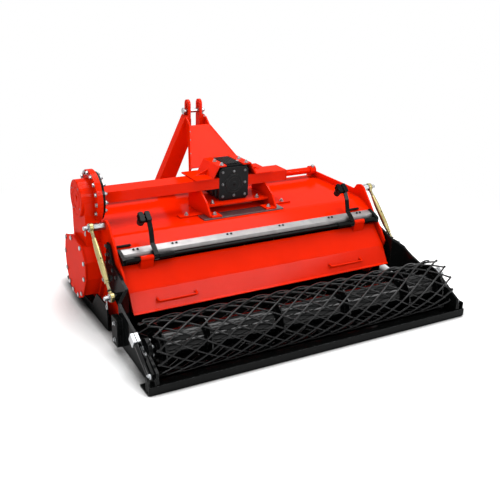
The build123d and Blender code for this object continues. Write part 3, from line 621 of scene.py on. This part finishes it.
piece("gearbox_casting", mesh, "chassis", cast_black)

mesh = bmesh.new()
bolt(mesh, (0.052, 0.21, gearbox.high.z - 0.0095), (0, 0, 1), 0.011, 0.2)
piece("gearbox_plug", mesh, "chassis", bright_zinc)

# %% [markdown]
# ## Nuts and studs round the gearbox
#
# Two bent brackets clamp the housing to the tubes, each by a pair of bolts. The cradle below stands on
# feet that slide on the strip for belt and chain adjustment, with one nut each, and four long studs go
# through its floor plate.

# %% Brackets and cradle
brackets, cradle = box_of("gearbox_brackets"), box_of("gearbox_cradle")
foot_top = box_of("slide_strip").high.z + 0.008
plate_top = gearbox.low.z
mesh = bmesh.new()
for side in (-1, 1):
    for y in (brackets.low.y + 0.014, brackets.low.y + 0.10):
        bolt(mesh, (side * 0.076, y, brackets.high.z), (0, 0, 1), 0.0115, 0.4 * side, stub=0.005)
    bolt(mesh, (side * 0.168, 0.05, foot_top), (0, 0, 1), 0.0125, 0.3, stub=0.005)
    bolt(mesh, (side * 0.300, 0.127, cradle.low.z + 0.008), (0, 0, 1), 0.0115, 0.1, stub=0.006)
    for y in (0.135, 0.285):
        bolt(mesh, (side * 0.140, y, plate_top), (0, 0, 1), 0.012, 0.2 * side, stub=0.010)
piece("gearbox_nuts", mesh, "chassis", bright_zinc)

RAIL_X = cradle.high.x * 0.572              # along the rails, on the deck
PLATE_X = 0.197                             # along the floor plate, where it meets the rails
GUSSET_X = 0.17                             # middle of the gusset of a bracket
gusset_z = brackets.high.z - 0.064
mesh = bmesh.new()
for side in (-1, 1):
    rail, plate, gusset = side * RAIL_X, side * PLATE_X, side * GUSSET_X
    bead(mesh, (rail, 0.10, cradle.low.z + 0.001), (rail, 0.298, cradle.low.z + 0.001))
    bead(mesh, (plate, 0.106, plate_top), (plate, 0.314, plate_top), 0.003)
    bead(mesh, (gusset - 0.03, 0.224, gusset_z), (gusset + 0.03, 0.224, gusset_z), 0.0025)
piece("cradle_welds", mesh, "chassis", red_paint)

# %% [markdown]
# ## Side drive
#
# The chain case has a round flange above and a deep box below. Bolts follow the flange's rim, the black
# ring on the inside of the plate has their nuts, and the lower cover has a bolt at every corner of its
# outline. The round cap is a pressed cover with a raised centre and four small screws.

# %% Side drive covers
cap, lower = box_of("drive_cover_upper"), box_of("drive_cover_lower")
FLANGE_X = -0.808                           # outer face of the case's flange
FLANGE_BOLTS_R, RING_NUTS_R = 0.126, 0.113
BOLT_ANGLES = [-28 + 23.6 * k for k in range(11)]
mesh = bmesh.new()
for k, at in enumerate(circle(FLANGE_X, cap.middle, FLANGE_BOLTS_R, BOLT_ANGLES)):
    bolt(mesh, at, (-1, 0, 0), 0.0118, 0.5 * k)
for k, at in enumerate(circle(box_of("drive_ring").high.x, cap.middle, RING_NUTS_R, BOLT_ANGLES)):
    bolt(mesh, at, (1, 0, 0), 0.0130, 0.4 * k, stub=0.006)
for y, z in rim_points("drive_cover_lower", lower.low.x):
    inwards = Vector((lower.middle.y - y, lower.middle.z - z)).normalized() * 0.016
    bolt(mesh, (lower.low.x + 0.0052, y + inwards.x, z + inwards.y), (-1, 0, 0), 0.0145, y * 9)
piece("side_drive_bolts", mesh, "chassis", bright_zinc)

mesh = bmesh.new()
face = facing((cap.low.x, cap.middle.y, cap.middle.z), (-1, 0, 0))
ring(mesh, face, 0.052, 0.056, 0.003, 64, 0.0009)
ring(mesh, face, 0.086, 0.094, 0.004, 72, 0.0016)
spun(mesh, [(0.016, 0), (0.016, 0.002), (0.013, 0.003)], face, 32)
lower_rim = [(lower.low.x + 0.004, y, z) for y, z in rim_points("drive_cover_lower", lower.low.x)]
swept(mesh, lower_rim, 0.0035, 8, joined=True)
piece("side_drive_rims", mesh, "chassis", red_paint)

mesh = bmesh.new()
for at in circle(cap.low.x, cap.middle, 0.072, (35, 125, 215, 305)):
    dome(mesh, at, (-1, 0, 0), 0.0045)
piece("drive_cap_screws", mesh, "chassis", steel)

# %% [markdown]
# ## Mast and hitch
#
# The top link pin has a head at one end and a spring clip through the other. The lower pins have a
# cross pin each, so that the link arms stay on. The mast is welded, and the welds show as beads along
# the feet of its legs and where the sloping sheet meets its edge strips.


# %% Pins and clips of the hitch
def hairpin(mesh, at, along, aside, size=1.0):
    """A spring clip of one wire: a straight leg through the pin, two coils, and a wavy leg back."""
    at, along, aside = Vector(at), Vector(along).normalized(), Vector(aside).normalized()
    line = [(-0.012, 0.0), (0.010, 0.0), (0.034, 0.0)]
    for k in range(25):
        a = -math.pi / 2 + 2 * math.pi * 1.75 * k / 24
        line.append((0.040 + 0.0095 * math.cos(a), 0.0095 + 0.0095 * math.sin(a)))
    line += [(0.026, 0.0145), (0.018, 0.0085), (0.009, 0.0125), (0.0, 0.0080), (-0.010, 0.0115)]
    over = along.cross(aside)
    lift = 0.0022 / len(line)
    swept(mesh, [at + size * (u * along + v * aside) + over * (lift * k) for k, (u, v) in enumerate(line)],
          0.0017 * size, 8)


link_pin = box_of("top_link_pin")
y, z = link_pin.middle.yz
mesh = bmesh.new()
spun(mesh, [(0.014, 0), (0.019, 0.0015), (0.0195, 0.004), (0.0195, 0.010), (0.0175, 0.012), (0.013, 0.0122)],
     facing((link_pin.low.x + 0.008, y, z), (-1, 0, 0)), 28)
spun(mesh, [(0.0127, 0), (0.0127, 0.003), (0.010, 0.006)],
     facing((link_pin.high.x - 0.001, y, z), (1, 0, 0)), 28)
hairpin(mesh, (link_pin.high.x - 0.007, y, z), (0, -0.3, -1), (0, -1, 0.3))
hitch = box_of("hitch_pins")
y, z = hitch.middle.yz
for side in (-1, 1):
    end = side * hitch.high.x
    cross = end - side * 0.012                  # the pin across the end, which carries the loop
    spun(mesh, [(0.014, 0), (0.014, 0.002), (0.011, 0.006)],
         facing((end - side * 0.001, y, z), (side, 0, 0)), 28)
    swept(mesh, [(cross, y, z + 0.022), (cross, y, z - 0.022)], 0.004, 10)
    loop = [(cross - side * 0.002, y + 0.021 * math.sin(a), z + 0.021 * math.cos(a))
            for a in (math.radians(8 + 17.2 * k) for k in range(21))]
    swept(mesh, loop, 0.0016, 8)
piece("hitch_clips", mesh, "chassis", bright_zinc)

sheet, beam = box_of("mast_cover"), box_of("front_beam")
down_slope = Vector((0, sheet.low.y - sheet.high.y, sheet.low.z - sheet.high.z)).normalized()
off_slope = Vector((0, down_slope.z, -down_slope.y))
SHEET_TOP_X = 0.058                                 # half its width at the top
spread = (sheet.high.x - SHEET_TOP_X) / 0.300       # how fast the sheet widens on its way down
mesh = bmesh.new()
for along in (0.045, 0.105, 0.20):
    at = Vector((0, sheet.high.y - 0.003, sheet.high.z)) + down_slope * along
    at.x = -(SHEET_TOP_X + 0.004 + spread * along)
    dome(mesh, at, off_slope, 0.0042)
piece("mast_screws", mesh, "chassis", steel)

mesh = bmesh.new()
for side in (-1, 1):
    for y in (0.650, 0.710):                        # rear and front of a leg's foot
        bead(mesh, (side * 0.171, y, beam.high.z), (side * 0.276, y, beam.high.z), 0.0035)
    top = Vector((side * SHEET_TOP_X, sheet.high.y - 0.003, sheet.high.z))
    low = Vector((side * 0.158, sheet.low.y, sheet.low.z + 0.004))
    bead(mesh, top + off_slope * 0.0005, low + off_slope * 0.0005, 0.0026)
    bead(mesh, (side * 0.030, 0.650, 0.72), (side * 0.030, 0.650, 0.86), 0.003)
    for y in (beam.low.y, beam.high.y):             # the lower hitch ears
        bead(mesh, (side * 0.330, y, beam.high.z), (side * 0.410, y, beam.high.z), 0.003)
piece("mast_welds", mesh, "chassis", red_paint)

# %% [markdown]
# ## Input shaft
#
# The tractor's drive shaft plugs onto a standard stub with six splines and a groove for its locking
# pin. Each ring of the mesh is the same spline outline, scaled where the end is chamfered and where
# the groove runs round.

# %% Splined input shaft
shaft = box_of("input_shaft")
SHAFT_R = shaft.high.x
spline = []
for k in range(6):
    for turn, reach in ((-17, 0.85), (-12, 1.0), (0, 1.0), (12, 1.0), (17, 0.85), (30, 0.84)):
        a = math.radians(60 * k + turn)
        spline.append(Vector((SHAFT_R * reach * math.cos(a), SHAFT_R * reach * math.sin(a), 0)))
seat = facing((shaft.middle.x, shaft.low.y, shaft.middle.z), (0, 1, 0))
length = shaft.high.y - shaft.low.y
mesh = bmesh.new()
rings = []
for scale, height in ((1.0, 0.0), (1.0, length - 0.028), (0.84, length - 0.026), (0.84, length - 0.018),
                      (1.0, length - 0.016), (1.0, length - 0.003), (0.86, length)):
    rings.append([mesh.verts.new(seat @ (point * scale + Vector((0, 0, height)))) for point in spline])
skin(mesh, rings)
splines = piece("input_splines", mesh, "input", steel)
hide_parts("input_shaft")

mesh = bmesh.new()
ring(mesh, seat, SHAFT_R + 0.004, 0.052, 0.010, 48, 0.002)
for k in range(6):
    a = math.radians(30 + 60 * k)
    at = (shaft.middle.x + 0.044 * math.cos(a), shaft.low.y + 0.005, shaft.middle.z + 0.044 * math.sin(a))
    bolt(mesh, at, (0, 1, 0), 0.0055, a, washer=False)
piece("input_seal_plate", mesh, "chassis", cast_black)

# %% [markdown]
# ## Hinge line and hood stops
#
# The clamp bar presses a rubber sheet onto the deck's edge, and pairs of small bolts hold it. Beside it
# two bent straps end in a head with a rubber buffer, which the opened hood meets. The head is two ribs
# with a bolt between them, and the strap is hooked round the hinge rod.

# %% Bar bolts and stop heads
bar = box_of("clamp_bar")
bar_slope = Vector((0, bar.low.y - bar.high.y, -0.012)).normalized()
bar_up = Vector((0, bar_slope.z, -bar_slope.y))
mesh = bmesh.new()
for x in (-0.684, -0.474, -0.16, 0.16, 0.484, 0.680):
    for beside in (-0.011, 0.011):
        at = Vector((x + beside, bar.high.y, bar.high.z)) + bar_slope * 0.016
        bolt(mesh, at, bar_up, 0.0062, 0.4)
piece("clamp_bar_bolts", mesh, "chassis", cast_black)

mesh = bmesh.new()
for x0, x1 in ((-0.772, -0.698), (0.628, 0.700)):       # a short bar beside each end of the clamp bar
    line = [(x, -0.080, 0.4205) for x in (x0, x0 + 0.004, x1 - 0.004, x1)]
    swept(mesh, line, lambda t: 0.0065 if 0.1 < t < 0.9 else 0.004, 14)
stops = box_of("hood_stops")
HEAD_AT = Vector((0, -0.066, 0.545))
HEAD_UP = Vector((0, -0.6, 0.8))
HEAD_TURN = Matrix((Vector((1, 0, 0)), Vector((0, 0.8, 0.6)), HEAD_UP)).transposed().to_4x4()
for side in (-1, 1):
    x = stops.middle.x + side * (stops.high.x - stops.middle.x - 0.032)
    place = Matrix.Translation(HEAD_AT + HEAD_UP * 0.008 + Vector((x, 0, 0))) @ HEAD_TURN
    for beside in (-0.0175, 0.0165):
        rib = [(beside + 0.0135 * math.copysign(min(1, abs(1.6 * math.cos(a))), math.cos(a)),
                0.0300 * math.copysign(abs(math.sin(a)) ** 0.6, math.sin(a)))
               for a in (math.radians(12 + 24 * k) for k in range(15))]
        slab(mesh, rib, place, 0.013, 0.003)
    bolt(mesh, place @ Vector((0, 0.006, 0)), HEAD_UP, 0.0062, 0.2)
    bolt(mesh, place @ Vector((0.019, 0.018, 0.009)), HEAD_UP, 0.0055, 0.2)
piece("stop_heads", mesh, "chassis", black_paint)

mesh = bmesh.new()
for side in (-1, 1):
    x = side * (stops.high.x - 0.012)
    hook = [(x, -0.1595 + 0.0165 * math.sin(a), 0.370 - 0.0165 * math.cos(a))
            for a in (math.radians(-60 + 20 * k) for k in range(12))]
    for shift in (-0.008, 0.0, 0.008):
        swept(mesh, [Vector(p) + Vector((shift, 0, 0)) for p in hook], 0.004, 8)
piece("stop_hooks", mesh, "chassis", black_paint)

# %% [markdown]
# ## Hood
#
# The two handles are round rods bent twice and welded to the lower facet, so each is swept along one
# rounded line, with a weld collar where it meets the sheet. Beads also show where the hood's red
# barrels are welded to its upper edge.

# %% Handles and welds of the hood
solids = box_of("hood_handles")
HANDLE_R = 0.0052
foot, grip = (-0.2635, 0.1935), (-0.2930, 0.1895)         # Y and Z of a handle's ends and of its bar
mesh = bmesh.new()
for x0, x1 in ((solids.low.x + 0.005, -0.430), (0.386, solids.high.x - 0.005)):
    line = rounded([(x0, *foot), (x0, *grip), (x1, *grip), (x1, *foot)], 0.012, 6)
    swept(mesh, line, HANDLE_R, 12)
    for x in (x0, x1):
        spun(mesh, [(0.0095, 0), (0.0085, 0.002), (0.0056, 0.004)],
             facing((x, -0.2655, 0.1925), (0, grip[0] - foot[0], grip[1] - foot[1])), 18)
handles = piece("hood_grips", mesh, "hood", red_paint)
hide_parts("hood_handles")

mesh = bmesh.new()
for side in (-1, 1):
    bead(mesh, (side * 0.614, -0.159, 0.318), (side * 0.678, -0.159, 0.318), 0.003)
    for start, end in (((-0.142, 0.315), (-0.231, 0.232)), ((-0.235, 0.223), (-0.281, 0.151))):
        bead(mesh, (side * 0.7665, *start), (side * 0.7665, *end), 0.0025)
piece("hood_welds", mesh, "hood", red_paint)

# %% [markdown]
# ## Turnbuckles
#
# A turnbuckle sets how deep the roller lets the machine go. Its long barrel is turned down at both ends
# and has two cross holes for a bar to turn it with. A screw with an eye runs into each end, and a lock nut
# holds the lower one. Each eye sits on a silver pin with a washer and a spring clip. The upper screw
# and the barrel move with one body and the lower screw with another, as the joints have it.

# %% Turnbuckle parts
EYE_R = 0.0238                                 # from the pin to the eye's rim
studs, lower_screw = box_of("screw_studs"), box_of("screw_lower_left")
TOP_PIN = Vector((0, studs.middle.y, studs.middle.z))
LOW_PIN = Vector((0, lower_screw.low.y + EYE_R, lower_screw.low.z + EYE_R))
down_screw = (LOW_PIN - TOP_PIN).normalized()
BARREL = (0.062, 0.296)                        # where it starts and ends, from the upper pin
CROSS_HOLE = 0.178                             # from the upper pin to the barrel's cross hole


def drill(made, at, way, radius, length):
    """Cuts a round hole through a piece."""
    cutter_mesh = bmesh.new()
    spun(cutter_mesh, [(radius, -length / 2), (radius, length / 2)], facing(at, way), 20)
    data = bpy.data.meshes.new("cutter")
    cutter_mesh.to_mesh(data)
    cutter_mesh.free()
    cutter = bpy.data.objects.new("cutter", data)
    bpy.context.scene.collection.objects.link(cutter)
    cut = made.modifiers.new("hole", "BOOLEAN")
    cut.object = cutter
    bpy.context.view_layer.update()
    result = bpy.data.meshes.new_from_object(made.evaluated_get(bpy.context.evaluated_depsgraph_get()))
    made.modifiers.clear()
    made.data = result
    bpy.data.objects.remove(cutter)


def eye_end(mesh, at, hole, way):
    """An eye on a pin and the forged neck that leads into its screw."""
    ring(mesh, facing(at, (1, 0, 0)), hole, EYE_R - 0.0006, 0.0198, 36, 0.002)
    spun(mesh, [(0.0093, 0.016), (0.0093, 0.024), (0.0090, 0.029), (0.0086, 0.032)], facing(at, way), 24)


for name, side in (("left", -1), ("right", 1)):
    screw_x = box_of("screw_barrel_" + name).middle.x
    top = TOP_PIN + Vector((screw_x, 0, 0))
    low = LOW_PIN + Vector((screw_x, 0, 0))
    along = facing(top, down_screw)

    mesh = bmesh.new()
    eye_end(mesh, top, 0.0112, down_screw)
    spun(mesh, thread(0.0089, 0.031, BARREL[0] + 0.006, 0.0022), along, 20)
    upper = piece("turnbuckle_eye_upper_" + name, mesh, f"screw_{name}_top", yellow_zinc)
    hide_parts("screw_upper_" + name)

    mesh = bmesh.new()
    start, end = BARREL
    spun(mesh, [(0.0098, start), (0.0112, start + 0.0015), (0.0116, start + 0.014), (0.0150, start + 0.056),
                (0.0154, start + 0.068), (0.0154, end - 0.050), (0.0148, end - 0.042), (0.0122, end - 0.012),
                (0.0120, end - 0.0015), (0.0105, end)], along, 36)
    barrel = piece("turnbuckle_barrel_" + name, mesh, f"screw_{name}_top", yellow_zinc)
    for way in (Vector((1, 0, 0)), Vector((1, 0, 0)).cross(down_screw)):
        drill(barrel, top + down_screw * CROSS_HOLE, way, 0.0042, 0.06)
    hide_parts("screw_barrel_" + name)

    mesh = bmesh.new()
    nut = [(0.0090, end + 0.0022), (0.0128, end + 0.0022), (0.0140, end + 0.0034), (0.0140, end + 0.0104),
           (0.0128, end + 0.0116), (0.0090, end + 0.0116)]
    spun(mesh, nut, along, 6, 0.3, joined=True)
    piece("turnbuckle_lock_nut_" + name, mesh, f"screw_{name}_top", yellow_zinc)

    mesh = bmesh.new()
    eye_end(mesh, low, 0.0131, -down_screw)
    spun(mesh, thread(0.0084, 0.031, 0.148, 0.0022), facing(low, -down_screw), 20)
    lower = piece("turnbuckle_eye_lower_" + name, mesh, f"screw_{name}_low", yellow_zinc)
    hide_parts("screw_lower_" + name)

    mesh = bmesh.new()
    ring(mesh, facing(low - down_screw * 0.036, down_screw), 0.0086, 0.0132, 0.006, 28, 0.0012)
    piece("turnbuckle_seal_" + name, mesh, f"screw_{name}_low", black_rubber)

    for pin, body in ((top, "chassis"), (low, "roller_frame")):
        mesh = bmesh.new()
        y, z = pin.yz
        ring(mesh, facing((screw_x + side * 0.0128, y, z), (side, 0, 0)), 0.0108, 0.0205, 0.0030, 32, 0.0008)
        tip = side * (studs.high.x - 0.0005)
        spun(mesh, [(0.0112, 0), (0.0112, 0.0045), (0.0088, 0.0075)], facing((tip, y, z), (side, 0, 0)), 28)
        if body == "roller_frame":
            neck_end = side * (abs(screw_x) + 0.010)
            sleeve = [(0.0114, 0), (0.0114, abs(tip - neck_end))]
            spun(mesh, sleeve, facing((neck_end, y, z), (side, 0, 0)), 28)
            hairpin(mesh, (tip - side * 0.006, y, z), (0, -0.15, -1), (0, 1, -0.15), 1.15)
        else:
            hairpin(mesh, (tip - side * 0.006, y, z), (0, 0.2, -1), (0, 1, 0.2), 0.95)
        piece(f"pin_and_clip_{body}_{name}", mesh, body, bright_zinc)

# %% [markdown]
# ## Roller frame
#
# Each arm is a bent plate that swings on a pivot bolt. Cup-headed bolts along its upright part clamp the
# stop plate behind it, a bolted block of stacked plates stiffens the bend, and the roller's bearing is
# bolted through its tail. Welds join the arm to the scraper bar.


# %% Bolts, blocks and welds of the arms
arm, pivots, roller_core = (box_of(name) for name in ("roller_arm_right", "arm_pivots", "roller_core"))
PIVOT_X = 0.806                                # outer face of an arm at its pivot
TAIL_X = 0.862                                 # outer face of an arm beside the roller
BEARING_X = 0.832                              # inner face of a roller bearing
SIDE_PLATE_X = 0.788                           # outer face of a side plate of the housing
BLOCK_Y, BLOCK_Z = (-0.385, -0.315), (0.038, 0.180)
BLOCK_PLATE = [(-0.0045, -0.069), (0.0045, -0.069), (0.0045, 0.069), (-0.0045, 0.069)]
CUPS = ((-0.033, 0.412), (-0.046, 0.376), (-0.068, 0.345), (-0.104, 0.312), (-0.150, 0.290))
bolts, cups, case_bolts, plates = bmesh.new(), bmesh.new(), bmesh.new(), bmesh.new()
for side in (-1, 1):
    outwards = (side, 0, 0)
    at = (side * (pivots.high.x - 0.001), pivots.middle.y, pivots.middle.z)
    bolt(bolts, at, outwards, 0.020, 0.2, stub=0.006)
    for y, z in CUPS:
        dome(cups, (side * PIVOT_X, y, z), outwards, 0.0115)
    for y, z in ((0.036, 0.392), (0.031, 0.345), (0.035, 0.300)):
        bolt(case_bolts, (side * SIDE_PLATE_X, y, z), outwards, 0.0095, y * 40)
    for z in (0.066, 0.152):
        bolt(bolts, (side * (arm.high.x - 0.0005), -0.352, z), outwards, 0.0105, z * 20)
    tail_angles = (0, 180, -60, -120)
    for angle, at in zip(tail_angles, circle(side * TAIL_X, roller_core.middle, 0.042, tail_angles)):
        bolt(bolts, at, outwards, 0.0095, math.radians(angle))
    bearing_angles = range(20, 380, 60)
    for angle, at in zip(bearing_angles, circle(side * BEARING_X, roller_core.middle, 0.038, bearing_angles)):
        bolt(bolts, at, (-side, 0, 0), 0.0098, math.radians(angle), stub=0.004)
    spun(bolts, [(0.022, 0), (0.022, 0.002), (0.018, 0.004), (0.006, 0.005)],
         facing((side * TAIL_X, roller_core.middle.y, roller_core.middle.z), outwards), 28)
    for inset in (0.0075, 0.021):
        rear = Matrix(((1, 0, 0, side * (arm.high.x - inset)), (0, 0, -1, BLOCK_Y[0]),
                       (0, 1, 0, sum(BLOCK_Z) / 2), (0, 0, 0, 1)))
        slab(plates, BLOCK_PLATE, rear, 0.003, 0.0008)
    for y in BLOCK_Y:
        bead(plates, (side * TAIL_X, y, BLOCK_Z[0]), (side * TAIL_X, y, BLOCK_Z[1]), 0.003)
    for x in (0.849, 0.863):                   # both faces of the arm, on the scraper bar
        bead(plates, (side * x, -0.789, 0.012), (side * x, -0.789, 0.042), 0.003)
piece("arm_bolts", bolts, "roller_frame", bright_zinc)
piece("arm_block_plates", plates, "roller_frame", black_paint)
piece("arm_cup_bolts", cups, "roller_frame", cast_black)
piece("side_plate_bolts", case_bolts, "chassis", steel)

# %% [markdown]
# ## Scraper adjusters
#
# The scraper bar is set nearer to the roller by a screw at each end: a square block on the arm takes a
# tube, and a ball end joins it to a clevis on the bar. The block is two half shells with a slot between
# them, so it is built from two slabs.

# %% Adjusters
ADJUSTER_X = 0.881
ADJUSTER_TOP, ADJUSTER_LOW = Vector((0, -0.590, 0.174)), Vector((0, -0.770, 0.066))
slant = (ADJUSTER_LOW - ADJUSTER_TOP).normalized()
slant_run = (ADJUSTER_LOW - ADJUSTER_TOP).length
side_axis = Vector((1, 0, 0))
down_tube = Matrix((side_axis, side_axis.cross(slant), slant)).transposed().to_4x4()
BALL_UP = 0.014                                # how far the ball stands up the tube from the joint
blocks, tubes, balls = bmesh.new(), bmesh.new(), bmesh.new()
for side in (-1, 1):
    out = Vector((side * ADJUSTER_X, 0, 0))
    at = Matrix.Translation(ADJUSTER_TOP + out) @ down_tube
    for x0, x1 in ((-0.017, -0.002), (0.001, 0.017)):
        half = [(x0, -0.0215), (x1, -0.0215), (x1, 0.0215), (x0, 0.0215)]
        slab(blocks, half, at @ Matrix.Translation((0, 0, -0.0255)), 0.051, 0.0022)
    inside = [(-0.012, -0.018), (0.012, -0.018), (0.012, 0.018), (-0.012, 0.018)]
    slab(tubes, inside, at @ Matrix.Translation((0, 0, -0.024)), 0.048, 0.001)
    spun(tubes, [(0.0145, 0.024), (0.0145, 0.032), (0.0122, 0.034), (0.0120, slant_run - 0.028),
                 (0.0100, slant_run - 0.024), (0.0078, slant_run - 0.010)], at, 28)
    ball = [(0.0155 * math.cos(a), 0.0155 * math.sin(a))
            for a in (math.radians(-56 + 14 * k) for k in range(9))]
    spun(balls, ball, facing(ADJUSTER_LOW + out - slant * BALL_UP, (1, 0, 0)), 28)
    spun(tubes, [(0.0052, -0.0205), (0.0052, 0.0205)], facing(ADJUSTER_LOW + out, (side, 0, 0)), 18)
block = piece("adjuster_blocks", blocks, "roller_frame", bright_zinc)
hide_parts("scraper_adjusters")
piece("adjuster_tubes", tubes, "roller_frame", roller_paint)
piece("adjuster_balls", balls, "roller_frame", bright_zinc)

# %% [markdown]
# ## Mesh roller
#
# The roller's skin is a net of two families of round bars, wound round it in opposite ways and welded
# where they cross, with their ends left as tips. All bars are one helix, turned by a twelfth each time
# and mirrored for the second family, so a loop makes both families and the weld spots between them.
# Where bar i of one family meets bar j of the other is worked out from the same two angles.

# %% Mesh of helical bars
bars = box_of("roller_mesh_a")
RODS = 12                                       # bars in each family
ROD_R = 0.0046
NET_X = bars.high.x - 0.004
ROD_TURN = math.radians(435)                    # from one end to the other
ROD_PHASE = math.radians(6.7)
OUTER_R = (bars.high.z - bars.low.z) / 2 - ROD_R - 0.0005
INNER_R = OUTER_R - 2 * ROD_R + 0.0008
RUNS = 96                                       # straight runs along one bar
axis = Vector((0, roller_core.middle.y, roller_core.middle.z))


def on_net(x, radius, sign, k):
    """A point on bar k of one family, at a place along the roller."""
    a = ROD_PHASE + sign * ROD_TURN * ((x + NET_X) / (2 * NET_X) - 1) - 2 * math.pi * k / RODS
    return axis + Vector((x, radius * math.sin(a), radius * math.cos(a)))


for family, sign, radius in (("a", 1, OUTER_R), ("b", -1, INNER_R)):
    mesh = bmesh.new()
    for k in range(RODS):
        steps = [-NET_X + 2 * NET_X * i / RUNS for i in range(RUNS + 1)]
        swept(mesh, [on_net(x, radius, sign, k) for x in steps], ROD_R, 8)
    net = piece("roller_net_" + family, mesh, "roller", roller_paint, 60)
    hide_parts("roller_mesh_" + family)

WELD_SPOT = [(0.0035, -0.0045), (0.0066, -0.0020), (0.0070, 0.0005), (0.0050, 0.0035), (0.0016, 0.0046)]
crossing = 2 * NET_X * math.pi / RODS / ROD_TURN           # length along the roller between two crossings
count = round(2 * NET_X / crossing)
mesh = bmesh.new()
for n in range(count + 1):
    x = max(-NET_X, NET_X - n * crossing)
    for k in range(RODS):
        spot = on_net(x, (OUTER_R + INNER_R) / 2, 1, k)
        way = Vector((0, spot.y - axis.y, spot.z - axis.z)).normalized()
        spun(mesh, WELD_SPOT, facing(spot, way), 8)
piece("roller_weld_spots", mesh, "roller", roller_paint, 60)

# %% [markdown]
# The bars are carried by discs on a core tube, which turns on a stub axle at each end. The tube and the
# discs are one turned profile each. The gloss coat on the tube ripples, so its highlights break up.

# %% Core of the roller
CORE_R, DISC_R, AXLE_R = 0.066, 0.1085, 0.020
DISC_X = (-0.790, -0.567, -0.189, 0.189, 0.567, 0.790)
CORE_END = 0.800                                # end of the tube, where the stub axles start
along_x = facing(axis, (1, 0, 0))
half = [(CORE_R, CORE_END - 0.002), (CORE_R - 0.002, CORE_END), (AXLE_R, CORE_END),
        (AXLE_R, roller_core.high.x)]
mesh = bmesh.new()
spun(mesh, [(radius, -x) for radius, x in half[::-1]] + half, along_x, 72)
for x in DISC_X:
    ring(mesh, along_x @ Matrix.Translation((0, 0, x)), CORE_R - 0.001, DISC_R, 0.008, 72, 0.0012)
core = piece("roller_tube_and_discs", mesh, "roller", rippled_paint)
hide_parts("roller_core")

# %% [markdown]
# ## Rotor
#
# Under the hood each blade is held to its flange by two bolts, which are the parts that a farmer knows
# best, because worn blades are changed there.

# %% Blade bolts
rotor = box_of("rotor_shaft").middle
STARS, STAR_PITCH, BLADES = 8, 0.197, 6
mesh = bmesh.new()
for i in range(STARS):
    star_x = (i - (STARS - 1) / 2) * STAR_PITCH
    for k in range(BLADES):
        hand = 1 if k % 2 == 0 else -1
        a = math.radians(360 / BLADES * k + 15 * i)
        radial = -Vector((0, math.cos(a), math.sin(a)))
        tangent = Vector((0, -radial.z, radial.y))
        for beside in (-0.014, 0.014):
            at = Vector((star_x + hand * 0.013, rotor.y, rotor.z)) + radial * 0.078 + tangent * beside
            bolt(mesh, at, (hand, 0, 0), 0.0085, a, washer=False)
            at.x = star_x - hand * 0.005
            bolt(mesh, at, (-hand, 0, 0), 0.0085, a, washer=False)
piece("blade_bolts", mesh, "rotor", steel)

# %% [markdown]
# ## Welds and small bolts of the housing
#
# The deck is welded to the side plates along most of its length. The transmission tube has beads near
# its left end, and the counter tube has them round its right end. The front tube has a bolt at each end.

# %% Housing welds
deck, tube = box_of("deck").high, box_of("counter_tube")
WALL_X = -0.760                                 # near the left end of the transmission tube
section = [(tube.low.y, tube.low.z), (tube.high.y, tube.low.z), (tube.high.y, tube.high.z),
           (tube.low.y, tube.high.z)]
mesh = bmesh.new()
for edge in (-deck.x + 0.001, deck.x - 0.001):
    bead(mesh, (edge, 0.02, deck.z), (edge, 0.55, deck.z), 0.003)
cap_x = tube.high.x - 0.004
for start, end in zip(section, section[1:] + section[:1]):
    bead(mesh, (cap_x, *start), (cap_x, *end), 0.0022)
for y in (tube.low.y, tube.high.y):
    bead(mesh, (WALL_X, y, tube.low.z), (WALL_X, y, tube.high.z), 0.003)
bead(mesh, (WALL_X, tube.low.y, tube.high.z), (WALL_X, tube.high.y, tube.high.z), 0.003)
piece("housing_welds", mesh, "chassis", red_paint)

front = box_of("front_tube")
mesh = bmesh.new()
for side in (-1, 1):
    bolt(mesh, (side * 0.758, front.middle.y - 0.010, front.high.z - 0.001), (0, -0.3, 1), 0.0105, 0.3)
piece("front_tube_bolts", mesh, "chassis", bright_zinc)
